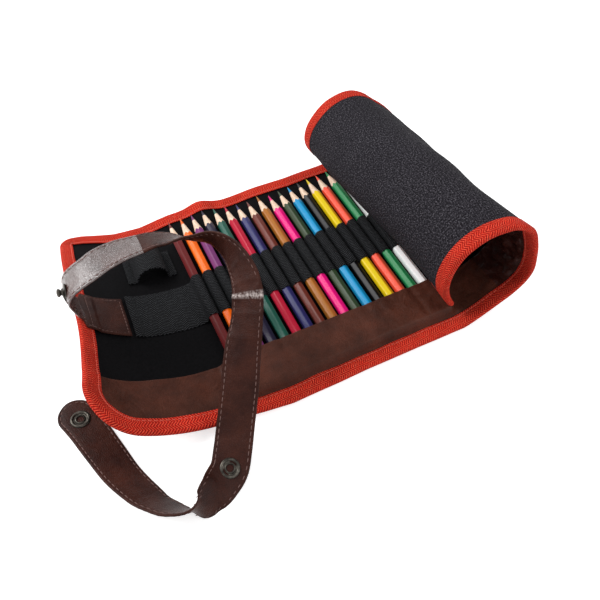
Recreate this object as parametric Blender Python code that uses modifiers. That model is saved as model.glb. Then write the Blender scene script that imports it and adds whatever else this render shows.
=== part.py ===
"""Pencil roll lying open: a stitched canvas wrap, part rolled up, with its strap and pencils.

The wrap is cut flat and then bent. A point of it has three flat coordinates: u runs along the
wrap from the left edge to the free end, v runs across it (minus is the near edge), and w is
the height above the outer canvas face. The function wrap_point bends them into the shape that
the open roll has: a lifted left end, a flat middle with the pencils, and the rolled end,
which is wider at its near mouth than at the far one.
Lengths are in metres. X runs along the wrap, Y along the pencils and Z up, and the origin is
on the underside, below the middle pencil.
"""
import math

import bmesh
import bpy
from mathutils import Matrix, Vector

MM = 0.001
GAP = 0.3 * MM
LAYER_GAP = 0.5 * MM

# Wrap, cut flat
WRAP_WIDTH = 205.0 * MM
CORNER_RADIUS = 15.0 * MM
CORNER_ANGLES = (0.0, 22.5, 45.0, 67.5, 90.0)
CANVAS_THICKNESS = 1.2 * MM
CANVAS_BORDER_THICKNESS = 0.35 * MM
LINING_THICKNESS = 0.5 * MM

# Binding tape, folded over every edge
TAPE_WIDTH = 11.0 * MM
TAPE_THICKNESS = 0.4 * MM
TAPE_EASE = 2.0 * MM

# Shape that the wrap lies in
CURL_LENGTH = 92.0 * MM
CURL_START_X = -86.0 * MM
CURL_PULL = 8.0 * MM
CURL_STEPS = 9
ROLL_START_X = 104.0 * MM
ROLL_RADIUS = 41.0 * MM
ROLL_TURN = 314.43
ROLL_SEGMENTS = 6
ROLL_STEPS = 6
SEGMENT_GAP = 0.4 * MM
SECTION_RADIUS = 41.0 * MM
SECTION_LEAD = 31.0 * MM
SECTION_STEPS = 5
ROLL_DRIFT_NEAR = 12.0 * MM
ROLL_DRIFT_FAR = 4.0 * MM

# Cross sections of the rolled end at its near and far mouth, chosen by eye: points (X, Z) of
# the outer face for a roll radius of 41, with X counted from where the roll starts. The first
# 31 belong to the flat part, which rises a little towards the near mouth. Straight lines join
# the two, so that each hinge of the roll lies along one of them.
NEAR_SECTION = ((-31, 0), (-24, 0), (-19, 0.3), (-12, 2.5), (6, 11), (20, 17), (30, 26), (33, 37),
                (30, 50), (24, 65), (16, 80), (4, 90), (-7, 92), (-18, 90.5), (-29, 85),
                (-38, 76), (-45, 64), (-48, 50), (-46, 37), (-40, 25), (-29, 15))
FAR_SECTION = ((-31, 0), (-15, 0), (2, 0.3), (15, 3.5), (26, 10), (34, 20), (38, 32), (36.5, 44),
               (30, 54.5), (19, 63), (7, 69.5), (-6, 73), (-19, 72.5), (-33, 67), (-43, 57),
               (-49, 45), (-50.5, 32), (-46, 20.5), (-37, 14.5), (-26, 14.5))

# Pencils
PENCIL_COUNT = 17
PENCIL_PITCH = 9.6 * MM
PENCIL_LENGTH = 173.0 * MM
PENCIL_FLATS = 6.8 * MM
PENCIL_BUTT_Y = -86.0 * MM
PENCIL_HEIGHT = 3.5 * MM
SHARPENED_LENGTH = 20.0 * MM
LEAD_TIP_RADIUS = 0.5 * MM

# Brown pocket band along the near edge
POCKET_DEPTH = 44.0 * MM
POCKET_THICKNESS = 0.5 * MM
POCKET_SEAM_PITCH = 105.6 * MM
POCKET_SEAM_WIDTH = 2.4 * MM
POCKET_SEAM_DEPTH = 1.6 * MM
POCKET_RAMP = 9.0 * MM

# Elastic band that holds the pencils
ELASTIC_WIDTH = 40.0 * MM
ELASTIC_CENTRE_Y = 2.0 * MM
ELASTIC_THICKNESS = 0.6 * MM
ELASTIC_WEB = 1.0 * MM
ELASTIC_END_U = 42.0 * MM

# Webbing loop for a sharpener
LOOP_BEFORE_FLAT = 22.0 * MM
LOOP_CENTRE_Y = 48.0 * MM
LOOP_WIDTH = 26.0 * MM
LOOP_INSIDE_WIDTH = 24.0 * MM
LOOP_INSIDE_HEIGHT = 13.0 * MM
LOOP_FOOT = 8.0 * MM
LOOP_THICKNESS = 1.3 * MM

# Strap
STRAP_WIDTH = 24.0 * MM
STRAP_THICKNESS = 1.6 * MM
STRAP_FOLD_GAP = 0.5 * MM
PATCH_WIDTH = 37.0 * MM
PATCH_LENGTH = 39.0 * MM
PATCH_FOLD_U = 2.0 * MM
PATCH_CLEARANCE = 0.8 * MM
PATCH_CENTRE_V = 0.5 * MM
PATCH_STEP = 5.0 * MM
STRAP_STEP = 7.0 * MM
STRAP_LEAD = 8.0 * MM

# Snap fasteners
SNAP_GAP = 0.6 * MM
SNAP_RADIUS = 6.8 * MM
SNAP_HEIGHT = 1.8 * MM
SNAP_SOCKET_BORE = 2.1 * MM
SNAP_CAP_HEIGHT = 1.0 * MM
SNAP_POST_RADIUS = 1.6 * MM
SNAP_HOLE_RADIUS = 1.95 * MM
HOLE_DEPTH = 12.0 * MM
SNAP_END_MARGIN = 19.0 * MM
STUD_FROM_FOLD = 16.5 * MM
STUD_RADIUS = 4.0 * MM
STUD_GAP = 0.9 * MM
STRAP_START = 1.5 * MM
STUD_POST_RADIUS = 2.0 * MM
STUD_HEIGHT = 4.2 * MM

# Route of the strap's middle line from the fold at the left edge to the tip, chosen by hand,
# each point in route units with the direction across the strap towards its far edge. The fold
# that it was drawn for comes first, and the points near it go with the fold where it moves.
ROUTE_UNIT = 1.0 * MM
ROUTE_FOLD = (-160.1994, 4.3093, 38.3514)
ROUTE_FOLLOWS_FOLD = 12
STRAP_ROUTE = (
    ((-163.8, 4.4, 44.0), (0.0, 1.0, -0.15)),
    ((-165.5, 4.8, 50.0), (0.0, 1.0, -0.05)),
    ((-165.2, 5.2, 57.0), (0.0, 1.0, 0.0)),
    ((-161.0, 6.0, 63.0), (-0.05, 1.0, 0.0)),
    ((-154.5, 6.8, 67.0), (-0.1, 1.0, 0.05)),
    ((-146.5, 8.3, 69.5), (-0.15, 1.0, 0.05)),
    ((-137.0, 11.5, 70.5), (-0.15, 1.0, 0.05)),
    ((-125.0, 14.0, 70.5), (-0.1, 1.0, -0.05)),
    ((-113.0, 14.5, 70.0), (-0.05, 1.0, -0.2)),
    ((-102.0, 13.0, 70.0), (0.0, 0.95, -0.3)),
    ((-91.0, 9.0, 70.0), (0.0, 0.9, -0.4)),
    ((-81.0, 4.5, 70.0), (0.0, 0.85, -0.5)),
    ((-71.0, -2.0, 71.0), (0.1, 0.65, -0.75)),
    ((-63.5, -12.0, 72.5), (-0.3, 0.45, -0.85)),
    ((-59.5, -25.0, 73.0), (-0.65, 0.3, -0.7)),
    ((-58.5, -38.0, 71.0), (-0.85, 0.25, -0.45)),
    ((-60.0, -49.0, 67.0), (-0.9, 0.35, -0.25)),
    ((-64.0, -58.0, 60.0), (-0.9, 0.4, -0.1)),
    ((-69.0, -66.5, 52.5), (-0.9, 0.43, 0.0)),
    ((-75.5, -76.0, 43.0), (-0.9, 0.43, 0.0)),
    ((-85.0, -91.0, 30.0), (-0.9, 0.42, 0.0)),
    ((-96.5, -109.0, 15.5), (-0.9, 0.4, 0.03)),
    ((-103.3, -120.0, 10.5), (-0.9, 0.42, 0.08)),
    ((-109.0, -129.5, 6.8), (-0.88, 0.4, 0.13)),
    ((-114.5, -137.0, 5.0), (-0.85, 0.38, 0.2)),
    ((-122.5, -143.0, 9.6), (-0.6, 0.25, 0.7)),
    ((-131.5, -145.5, 12.0), (-0.4, 0.1, 0.9)),
    ((-141.0, -144.0, 12.5), (-0.2, -0.35, 0.9)),
    ((-149.0, -138.5, 12.0), (-0.4, -0.45, 0.8)),
    ((-155.0, -132.0, 11.0), (-0.5, -0.45, 0.75)),
    ((-159.5, -125.0, 10.0), (-0.65, -0.45, 0.65)),
    ((-164.0, -114.0, 8.5), (-0.7, -0.45, 0.55)),
    ((-168.5, -101.0, 7.0), (-0.8, -0.4, 0.45)),
    ((-174.0, -83.0, 5.0), (-0.85, -0.4, 0.3)),
    ((-180.0, -63.0, 4.0), (-0.95, -0.25, 0.15)),
    ((-184.5, -47.0, 3.6), (-0.97, -0.2, 0.05)),
    ((-187.0, -37.0, 3.5), (-0.97, -0.2, 0.0)),
)
STRAP_ARCH_END = 13.0
STRAP_FALL_END = 25.0
FALL_SNAP_AT = 23.9

# Colour, roughness and metallic value of each material
CANVAS_LOOK = ((0.042, 0.039, 0.048), 0.9, 0.0)
LINING_LOOK = ((0.008, 0.008, 0.009), 0.85, 0.0)
TAPE_LOOK = ((0.73, 0.035, 0.012), 0.8, 0.0)
LEATHER_LOOK = ((0.075, 0.027, 0.02), 0.45, 0.0)
ELASTIC_LOOK = ((0.02, 0.021, 0.023), 0.9, 0.0)
SNAP_LOOK = ((0.16, 0.14, 0.11), 0.35, 0.9)
PENCIL_COLOURS = (
    ("maroon", (0.2, 0.02, 0.02)),
    ("orange", (1.0, 0.19, 0.003)),
    ("purple", (0.22, 0.045, 0.19)),
    ("violet", (0.02, 0.015, 0.03)),
    ("bottle_green", (0.026, 0.11, 0.07)),
    ("crimson", (0.58, 0.013, 0.045)),
    ("navy", (0.045, 0.045, 0.16)),
    ("brown", (0.2, 0.05, 0.03)),
    ("ochre", (0.48, 0.19, 0.026)),
    ("pink", (0.87, 0.013, 0.22)),
    ("olive", (0.06, 0.09, 0.045)),
    ("sky_blue", (0.013, 0.35, 0.65)),
    ("black", (0.02, 0.02, 0.023)),
    ("yellow", (0.87, 0.68, 0.013)),
    ("coral", (0.95, 0.13, 0.07)),
    ("green", (0.032, 0.3, 0.1)),
    ("white", (0.85, 0.85, 0.85)),
)

# Sizes that follow from those above
HALF_WIDTH = WRAP_WIDTH / 2
ROLL_LENGTH = ROLL_RADIUS * math.radians(ROLL_TURN)
ROLL_START_U = CURL_LENGTH + ROLL_START_X - CURL_START_X
WRAP_LENGTH = ROLL_START_U + ROLL_LENGTH
SECTION_SCALE = ROLL_RADIUS / SECTION_RADIUS
SHAPED_START_U = ROLL_START_U - SECTION_LEAD * SECTION_SCALE
SEGMENT_LENGTH = ROLL_LENGTH / ROLL_SEGMENTS
LOOP_CENTRE_U = CURL_LENGTH - LOOP_BEFORE_FLAT
EDGE_INSET = TAPE_THICKNESS + GAP
BORDER = TAPE_WIDTH + TAPE_EASE
LINING_BOTTOM = CANVAS_THICKNESS + LAYER_GAP
LINING_TOP = LINING_BOTTOM + LINING_THICKNESS
POCKET_BOTTOM = LINING_TOP + LAYER_GAP
TAPE_TOP = LINING_TOP + LAYER_GAP + TAPE_THICKNESS
TAPE_TOP_OVER_POCKET = POCKET_BOTTOM + POCKET_THICKNESS + LAYER_GAP + TAPE_THICKNESS
POCKET_EDGE_V = -HALF_WIDTH + POCKET_DEPTH
PENCIL_CORNERS = PENCIL_FLATS / math.cos(math.radians(30.0))
PENCIL_AXIS_Z = PENCIL_HEIGHT + PENCIL_FLATS / 2
PENCIL_TOP = PENCIL_HEIGHT + PENCIL_FLATS
FIRST_PENCIL_X = -PENCIL_PITCH * (PENCIL_COUNT - 1) / 2
LAST_PENCIL_X = -FIRST_PENCIL_X
ELASTIC_NEAR_V = ELASTIC_CENTRE_Y - ELASTIC_WIDTH / 2
ELASTIC_FAR_V = ELASTIC_CENTRE_Y + ELASTIC_WIDTH / 2
PATCH_BOTTOM = TAPE_TOP + PATCH_CLEARANCE
STRAP_LEVEL = PATCH_BOTTOM + STRAP_THICKNESS / 2


def clear_scene():
    for old in list(bpy.data.objects):
        bpy.data.objects.remove(old, do_unlink=True)


def new_collection(name):
    collection = bpy.data.collections.new(name)
    bpy.context.scene.collection.children.link(collection)
    return collection


def make_material(name, look):
    colour, roughness, metallic = look
    material = bpy.data.materials.new(name)
    material.use_nodes = True
    shader = material.node_tree.nodes["Principled BSDF"]
    shader.inputs["Base Color"].default_value = (*colour, 1.0)
    shader.inputs["Roughness"].default_value = roughness
    shader.inputs["Metallic"].default_value = metallic
    material.diffuse_color = (*colour, 1.0)
    return material


def link_object(name, mesh, material, collection, origin=None, parent=None):
    """Links a mesh made in world coordinates, with its origin moved to the given point."""
    obj = bpy.data.objects.new(name, mesh)
    collection.objects.link(obj)
    if origin is not None:
        mesh.transform(Matrix.Translation(-Vector(origin)))
        obj.location = origin
    if material is not None:
        mesh.materials.append(material)
    if parent is not None:
        obj.parent = parent
        obj.matrix_parent_inverse = Matrix.Translation(-Vector(parent.location))
    return obj


def make_pivot(name, location, collection):
    pivot = bpy.data.objects.new(name, None)
    pivot.location = location
    pivot.empty_display_size = 0.01
    collection.objects.link(pivot)
    return pivot


def curl_shape(share):
    """Length and turn of the lifted left end, from the near edge (0) to the far one (1)."""
    length = CURL_LENGTH * (98.0 - 10.0 * share - 12.0 * share ** 2) / 92.0
    return length, math.radians(66.0 - 13.0 * share - 38.0 * share ** 2)


def smooth_line(points, count=24):
    """Catmull-Rom line through points, with count steps between each two."""
    first = 2 * points[0] - points[1]
    last = 2 * points[-1] - points[-2]
    held = [first, *points, last]
    line = []
    for a, b, c, d in zip(held, held[1:], held[2:], held[3:]):
        for step in range(count):
            f = step / count
            line.append(0.5 * (2 * b + (c - a) * f + (2 * a - 5 * b + 4 * c - d) * f ** 2
                               + (3 * b - a - 3 * c + d) * f ** 3))
    return line + [points[-1]]


class RollSection:
    """One cross section of the rolled end, read by distance along the cloth."""

    def __init__(self, points):
        self.line = smooth_line([Vector(point) * MM * SECTION_SCALE for point in points])
        self.reach = [0.0]
        for a, b in zip(self.line, self.line[1:]):
            self.reach.append(self.reach[-1] + (b - a).length)
        self.slack = self.reach[-1] - (WRAP_LENGTH - SHAPED_START_U)

    def point(self, distance):
        lead = ROLL_START_U - SHAPED_START_U
        rolled = max((distance - lead) / ROLL_LENGTH, 0.0)
        reach = min(max(distance + self.slack * rolled, 0.0), self.reach[-1])
        low, high = 0, len(self.reach) - 1
        while high - low > 1:
            middle = (low + high) // 2
            low, high = (middle, high) if self.reach[middle] <= reach else (low, middle)
        part = (reach - self.reach[low]) / (self.reach[high] - self.reach[low])
        return self.line[low].lerp(self.line[high], part)


NEAR_MOUTH = RollSection(NEAR_SECTION)
FAR_MOUTH = RollSection(FAR_SECTION)


def section_point(u, v):
    """X and Z of the outer face at u and v, from where the cloth starts to rise."""
    distance = u - SHAPED_START_U
    share = (v + HALF_WIDTH) / WRAP_WIDTH
    return NEAR_MOUTH.point(distance).lerp(FAR_MOUTH.point(distance), share)


def smooth_step(value, low, high):
    share = min(max((value - low) / (high - low), 0.0), 1.0)
    return share * share * (3 - 2 * share)


def wrap_point(u, v, w):
    """Bends the flat point (u, v, w) of the wrap to where it lies."""
    if u < CURL_LENGTH:
        share = (v + HALF_WIDTH) / WRAP_WIDTH
        length, turn = curl_shape(share)
        along = 1 - u / CURL_LENGTH
        radius = length / turn
        x = CURL_START_X - (radius - w) * math.sin(turn * along)
        y = v + CURL_PULL * (1 - share) * along ** 2
        return Vector((x, y, radius - (radius - w) * math.cos(turn * along)))
    if u <= SHAPED_START_U:
        return Vector((CURL_START_X + u - CURL_LENGTH, v, w))
    here = section_point(u, v)
    ahead = section_point(min(u + GAP, WRAP_LENGTH), v)
    behind = section_point(max(u - GAP, SHAPED_START_U), v)
    along = (ahead - behind).normalized()
    share = (v + HALF_WIDTH) / WRAP_WIDTH
    drift = smooth_step(u, ROLL_START_U - SECTION_LEAD * SECTION_SCALE / 2, WRAP_LENGTH)
    y = v + drift * (ROLL_DRIFT_NEAR * (1 - share) + ROLL_DRIFT_FAR * share)
    return Vector((ROLL_START_X + here.x - along.y * w, y, here.y + along.x * w))


def u_at_x(x):
    """Flat coordinate u of a place on the flat middle."""
    return x - CURL_START_X + CURL_LENGTH


def spread(start, end, count):
    """Evenly spaced values from start to end, both included."""
    return [start + (end - start) * i / count for i in range(count + 1)]


def merged(*lists):
    """Sorts stations together and drops those that fall on one another."""
    values = sorted(value for part in lists for value in part)
    kept = [values[0]]
    for value in values[1:]:
        if value - kept[-1] > 0.02 * MM:
            kept.append(value)
    return kept


def solid_between(columns, rows, outer, inner):
    """Closed mesh of a sheet: a grid whose two faces are placed by outer and inner."""
    bm = bmesh.new()
    bmesh.ops.create_grid(bm, x_segments=columns - 1, y_segments=rows - 1, size=0.5)
    index = {}
    for vert in bm.verts:
        i = round((vert.co.x + 0.5) * (columns - 1))
        j = round((vert.co.y + 0.5) * (rows - 1))
        index[vert] = (i, j)
    places = {(i, j): vert.co.copy() for vert, (i, j) in index.items()}
    made = bmesh.ops.extrude_face_region(bm, geom=bm.faces[:])
    raised = [item for item in made["geom"] if isinstance(item, bmesh.types.BMVert)]
    lookup = {(round(co.x, 6), round(co.y, 6)): key for key, co in places.items()}
    keys = {vert: lookup[(round(vert.co.x, 6), round(vert.co.y, 6))] for vert in bm.verts}
    raised_set = set(raised)
    for vert, (i, j) in keys.items():
        vert.co = outer(i, j) if vert in raised_set else inner(i, j)
    bmesh.ops.recalc_face_normals(bm, faces=bm.faces[:])
    if bm.calc_volume(signed=True) < 0:
        bmesh.ops.reverse_faces(bm, faces=bm.faces[:])
    mesh = bpy.data.meshes.new("sheet")
    bm.to_mesh(mesh)
    bm.free()
    mesh.shade_smooth()
    mesh.set_sharp_from_angle(angle=math.radians(40.0))
    return mesh


def corner_points(inset):
    """Points of a round corner: distance from the wrap's end and half the width there."""
    radius = CORNER_RADIUS - inset
    middle = HALF_WIDTH - CORNER_RADIUS
    turns = [math.radians(angle) for angle in CORNER_ANGLES]
    return [(inset + radius * (1 - math.cos(turn)), middle + radius * math.sin(turn))
            for turn in turns]


def outline_half_width(u, inset):
    """Half the width of the wrap's outline, drawn in by inset, with its round corners."""
    points = corner_points(inset)
    distance = max(min(u, WRAP_LENGTH - u), points[0][0])
    for (near, low), (far, high) in zip(points, points[1:]):
        if distance <= far:
            return low + (high - low) * (distance - near) / (far - near)
    return HALF_WIDTH - inset


def corner_stations(inset):
    """Distances from a wrap end at which its round corners have a point."""
    return [distance for distance, _ in corner_points(inset)]


def wrap_sheet(us, vs, bottom, top, inset=EDGE_INSET):
    """Sheet of the wrap between two heights, whose outline follows the wrap's corners."""
    def place(height):
        def at(i, j):
            u = us[i]
            v = vs[j] * outline_half_width(u, inset) / (HALF_WIDTH - inset)
            return wrap_point(u, v, height(u, vs[j]))
        return at
    return solid_between(len(us), len(vs), place(top), place(bottom))


def segment_range(number):
    """Flat start and end of a roll segment, short of its neighbours by half the gap."""
    start = ROLL_START_U + number * SEGMENT_LENGTH + SEGMENT_GAP / 2
    end = start + SEGMENT_LENGTH - SEGMENT_GAP
    return start, end


def curl_stations(start=CORNER_RADIUS):
    """Stations that every layer shares where the left end is lifted, from start on."""
    return [u for u in spread(CORNER_RADIUS, CURL_LENGTH, CURL_STEPS) if u > start - GAP]


def shaped_stations():
    """Stations that every layer shares where the cloth rises towards the roll."""
    return spread(SHAPED_START_U, ROLL_START_U - SEGMENT_GAP / 2, SECTION_STEPS)


def root_stations():
    return merged(corner_stations(EDGE_INSET), curl_stations(), [BORDER, BORDER + GAP],
                  shaped_stations())


def segment_stations(number):
    start, end = segment_range(number)
    stations = spread(start, end, ROLL_STEPS)
    if number < ROLL_SEGMENTS - 1:
        return stations
    corners = [WRAP_LENGTH - distance for distance in corner_stations(EDGE_INSET)]
    border = [WRAP_LENGTH - BORDER, WRAP_LENGTH - BORDER - GAP]
    inside = [station for station in stations if station < WRAP_LENGTH - CORNER_RADIUS - 1 * MM]
    return merged(inside, corners, border)


INNER_ROWS = [HALF_WIDTH * v / 102.5 for v in (-75.0, -55.0, -27.5, 0.0, 27.5, 55.0, 75.0)]


def canvas_bottom(u, v):
    """Underside of the canvas, rebated where the binding tape lies against it."""
    at_side = abs(v) > HALF_WIDTH - BORDER - GAP / 2
    at_end = min(u, WRAP_LENGTH - u) < BORDER + GAP / 2
    return CANVAS_THICKNESS - CANVAS_BORDER_THICKNESS if at_side or at_end else 0.0


def canvas_rows(inner_rows):
    side = HALF_WIDTH - EDGE_INSET
    border = HALF_WIDTH - BORDER
    edge = [border - GAP, border, side]
    return [-v for v in reversed(edge)] + list(inner_rows) + edge


def canvas_mesh(us, inner_rows=(0.0,)):
    return wrap_sheet(us, canvas_rows(inner_rows), canvas_bottom, lambda u, v: CANVAS_THICKNESS)


def lining_mesh(us):
    side = HALF_WIDTH - EDGE_INSET
    vs = [-side, *INNER_ROWS, side]
    return wrap_sheet(us, vs, lambda u, v: LINING_BOTTOM, lambda u, v: LINING_TOP)


def fitted_lining_mesh(us):
    """Lining inside the roll, with the flat pocket band and the empty elastic sewn on it."""
    side = HALF_WIDTH - EDGE_INSET
    step = 0.1 * MM
    vs = [-side, POCKET_EDGE_V - step, POCKET_EDGE_V, ELASTIC_NEAR_V - step, ELASTIC_NEAR_V,
          ELASTIC_FAR_V, ELASTIC_FAR_V + step, side]

    def top(u, v):
        if v < POCKET_EDGE_V - step / 2:
            return LINING_TOP + POCKET_THICKNESS + LAYER_GAP
        on_band = ELASTIC_NEAR_V - step / 2 < v < ELASTIC_FAR_V + step / 2
        if on_band and u < WRAP_LENGTH - BORDER - GAP / 2:
            return LINING_TOP + ELASTIC_THICKNESS
        return LINING_TOP
    return wrap_sheet(us, vs, lambda u, v: LINING_BOTTOM, top)


def side_path(us, side):
    """Stations of the tape along one long edge: place and outward direction."""
    return [(u, side * HALF_WIDTH, 0.0, side) for u in us]


def end_path(side_from, at_left):
    """Stations of the tape round one end of the wrap, from one long edge to the other."""
    stations = []
    for side in (side_from, -side_from):
        angles = CORNER_ANGLES if side == side_from else CORNER_ANGLES[::-1]
        for angle in angles:
            out_u = math.sin(math.radians(angle)) * (-1 if at_left else 1)
            out_v = math.cos(math.radians(angle)) * side
            centre_u = CORNER_RADIUS if at_left else WRAP_LENGTH - CORNER_RADIUS
            centre_v = side * (HALF_WIDTH - CORNER_RADIUS)
            stations.append((centre_u + CORNER_RADIUS * out_u, centre_v + CORNER_RADIUS * out_v,
                             out_u, out_v))
        if side == side_from:
            end_u = 0.0 if at_left else WRAP_LENGTH
            stations += [(end_u, -side * v, -1.0 if at_left else 1.0, 0.0) for v in INNER_ROWS]
    return stations


def tape_top(v):
    """Height of the tape's upper side, which steps up where the pocket band lies under it."""
    over_pocket = v < POCKET_EDGE_V + 4 * MM
    return TAPE_TOP_OVER_POCKET if over_pocket else TAPE_TOP


def tape_mesh(path, leg_points=2):
    """Binding tape folded round the edge: a C section carried along the path."""
    def place(depth, inside):
        def at(i, j):
            u, v, out_u, out_v = path[i]
            insets = spread(TAPE_WIDTH, depth, leg_points - 1)
            inset = insets[min(j, 2 * leg_points - 1 - j)]
            w = inside if j < leg_points else tape_top(v) - inside
            return wrap_point(u - out_u * inset, v - out_v * inset, w)
        return at
    return solid_between(len(path), 2 * leg_points, place(0.0, 0.0),
                         place(TAPE_THICKNESS, TAPE_THICKNESS))


def make_wrap(collection, materials):
    us = root_stations()
    link_object("canvas_mat", canvas_mesh(us, INNER_ROWS), materials["canvas"], collection)
    link_object("lining", lining_mesh(us), materials["lining"], collection)
    edge_us = curl_stations()[1:] + shaped_stations()
    path = side_path(edge_us[::-1], -1) + end_path(-1, True) + side_path(edge_us, 1)
    link_object("edge_binding", tape_mesh(path, 3), materials["tape"], collection)


def make_roll(collection, materials):
    """Rolled end of the wrap: a chain of curved segments, each turning on the one before.

    The outer face is straight across the wrap at every u, so each hinge's axis is the straight
    line from the near edge to the far edge through its pivot.
    """
    parent = None
    last = ROLL_SEGMENTS - 1
    for number in range(ROLL_SEGMENTS):
        hinge = wrap_point(ROLL_START_U + number * SEGMENT_LENGTH, 0.0, 0.0)
        pivot = make_pivot(f"roll_hinge_{number + 1}", hinge, collection)
        if parent is not None:
            pivot.parent = parent
            pivot.matrix_parent_inverse = parent.matrix_world.inverted()
            bpy.context.view_layer.update()
        else:
            bpy.context.view_layer.update()
        us = segment_stations(number)
        pieces = [("canvas", canvas_mesh(us), materials["canvas"]),
                  ("lining", fitted_lining_mesh(us), materials["lining"])]
        start, end = segment_range(number)
        if number < last:
            edge_us = spread(start, end, ROLL_STEPS)
            pieces.append(("binding_near", tape_mesh(side_path(edge_us, -1)), materials["tape"]))
            pieces.append(("binding_far", tape_mesh(side_path(edge_us[::-1], 1)), materials["tape"]))
        else:
            edge_us = [u for u in us if u < WRAP_LENGTH - CORNER_RADIUS - 1 * MM]
            path = side_path(edge_us, -1) + end_path(-1, False) + side_path(edge_us[::-1], 1)
            pieces.append(("binding_end", tape_mesh(path[::-1], 3), materials["tape"]))
        for kind, mesh, material in pieces:
            mesh.transform(Matrix.Translation(-pivot.matrix_world.translation))
            obj = bpy.data.objects.new(f"roll_{kind}_{number + 1}", mesh)
            collection.objects.link(obj)
            mesh.materials.append(material)
            obj.parent = pivot
        parent = pivot


def pencil_mesh(cutters):
    """Hexagonal pencil along Y with its butt at zero, sharpened by a cone."""
    bm = bmesh.new()
    turn = Matrix.Rotation(math.radians(-90.0), 4, "X") @ Matrix.Rotation(math.radians(30.0), 4, "Z")
    bmesh.ops.create_cone(bm, cap_ends=True, segments=6, radius1=PENCIL_CORNERS / 2,
                          radius2=PENCIL_CORNERS / 2, depth=PENCIL_LENGTH)
    bmesh.ops.transform(bm, matrix=Matrix.Translation((0, PENCIL_LENGTH / 2, 0)) @ turn,
                        verts=bm.verts[:])
    mesh = bpy.data.meshes.new("pencil_blank")
    bm.to_mesh(mesh)
    bm.free()
    blank = bpy.data.objects.new("pencil_blank", mesh)
    cutters.objects.link(blank)

    reach = PENCIL_CORNERS / 2 + 0.2 * MM
    shoulder = PENCIL_LENGTH - SHARPENED_LENGTH
    slope = (PENCIL_CORNERS / 2 - LEAD_TIP_RADIUS) / SHARPENED_LENGTH
    back = (reach - PENCIL_CORNERS / 2) / slope
    profile = ((0.0, PENCIL_LENGTH), (LEAD_TIP_RADIUS, PENCIL_LENGTH), (reach, shoulder - back),
               (reach, -1 * MM), (0.0, -1 * MM))
    cone_mesh = bpy.data.meshes.new("sharpener")
    cone_mesh.from_pydata([(r, y, 0.0) for r, y in profile],
                          [(i, i + 1) for i in range(len(profile) - 1)], [])
    cone = bpy.data.objects.new("sharpener_cone", cone_mesh)
    cutters.objects.link(cone)
    screw = cone.modifiers.new("turn", "SCREW")
    screw.axis = "Y"
    screw.angle = math.radians(360.0)
    screw.steps = 24
    screw.render_steps = 24
    screw.use_merge_vertices = True
    screw.merge_threshold = 0.00001
    screw.use_normal_calculate = True
    cut = blank.modifiers.new("sharpen", "BOOLEAN")
    cut.operation = "INTERSECT"
    cut.object = cone
    bpy.context.view_layer.update()
    evaluated = blank.evaluated_get(bpy.context.evaluated_depsgraph_get())
    finished = bpy.data.meshes.new_from_object(evaluated)
    for cutter in (blank, cone):
        bpy.data.objects.remove(cutter, do_unlink=True)
    return finished


def make_pencils(collection, cutters):
    finished = pencil_mesh(cutters)
    for number, (colour_name, colour) in enumerate(PENCIL_COLOURS):
        mesh = finished.copy()
        mesh.materials.clear()
        material = make_material(f"pencil_{colour_name}", (colour, 0.35, 0.0))
        mesh.materials.append(material)
        obj = bpy.data.objects.new(f"pencil_{number + 1:02d}_{colour_name}", mesh)
        obj.location = (FIRST_PENCIL_X + number * PENCIL_PITCH, PENCIL_BUTT_Y, PENCIL_AXIS_Z)
        collection.objects.link(obj)


def pocket_lift(x):
    """How far the pocket band stands above the lining at its mouth: full over the pencils."""
    margin = PENCIL_CORNERS / 2 + GAP
    full = PENCIL_TOP - LINING_TOP
    outside = max(FIRST_PENCIL_X - margin - x, x - LAST_PENCIL_X - margin, 0.0)
    slack = 1.6 * MM
    return slack + (full - slack) * max(1 - outside / POCKET_RAMP, 0.0)


def seam_dip(x):
    """Depth of the stitched seams that divide the pocket band."""
    first = FIRST_PENCIL_X + 3.5 * PENCIL_PITCH
    nearest = min(abs(x - first - n * POCKET_SEAM_PITCH) for n in range(-1, 2))
    return POCKET_SEAM_DEPTH if nearest < POCKET_SEAM_WIDTH / 4 else 0.0


def make_pocket(collection, materials):
    first_seam = FIRST_PENCIL_X + 3.5 * PENCIL_PITCH
    seams = []
    for n in (0, 1):
        centre = u_at_x(first_seam + n * POCKET_SEAM_PITCH)
        half = POCKET_SEAM_WIDTH / 2
        seams += [centre - half, centre - half / 4, centre + half / 4, centre + half]
    margin = PENCIL_CORNERS / 2 + GAP
    ramps = [u_at_x(FIRST_PENCIL_X - margin - POCKET_RAMP), u_at_x(FIRST_PENCIL_X - margin),
             u_at_x(LAST_PENCIL_X + margin), u_at_x(LAST_PENCIL_X + margin + POCKET_RAMP)]
    us = merged(corner_stations(EDGE_INSET), curl_stations(),
                ramps, seams, [TAPE_WIDTH + 0.5 * MM, TAPE_WIDTH + 6 * MM], shaped_stations())
    flat_until = -HALF_WIDTH + TAPE_WIDTH + 0.1 * MM
    full_from = PENCIL_BUTT_Y - GAP - 0.2 * MM
    vs = [-HALF_WIDTH + EDGE_INSET, flat_until, full_from, full_from + 10 * MM, POCKET_EDGE_V]
    corner_us = {round(u, 7) for u in us if u < TAPE_WIDTH + 1 * MM}

    def place(extra):
        def at(i, j):
            u = us[i]
            v = max(vs[j], -outline_half_width(u, EDGE_INSET)) if j == 0 else vs[j]
            if j == 1:
                v = max(v, -outline_half_width(u, EDGE_INSET) + 1 * MM)
            lift = 0.0
            if j > 1 and round(u, 7) not in corner_us:
                x = u + CURL_START_X - CURL_LENGTH
                lift = pocket_lift(x) - seam_dip(x)
            return wrap_point(u, v, POCKET_BOTTOM + lift + extra)
        return at
    mesh = solid_between(len(us), len(vs), place(POCKET_THICKNESS), place(0.0))
    link_object("pocket_band", mesh, materials["leather"], collection)


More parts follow.
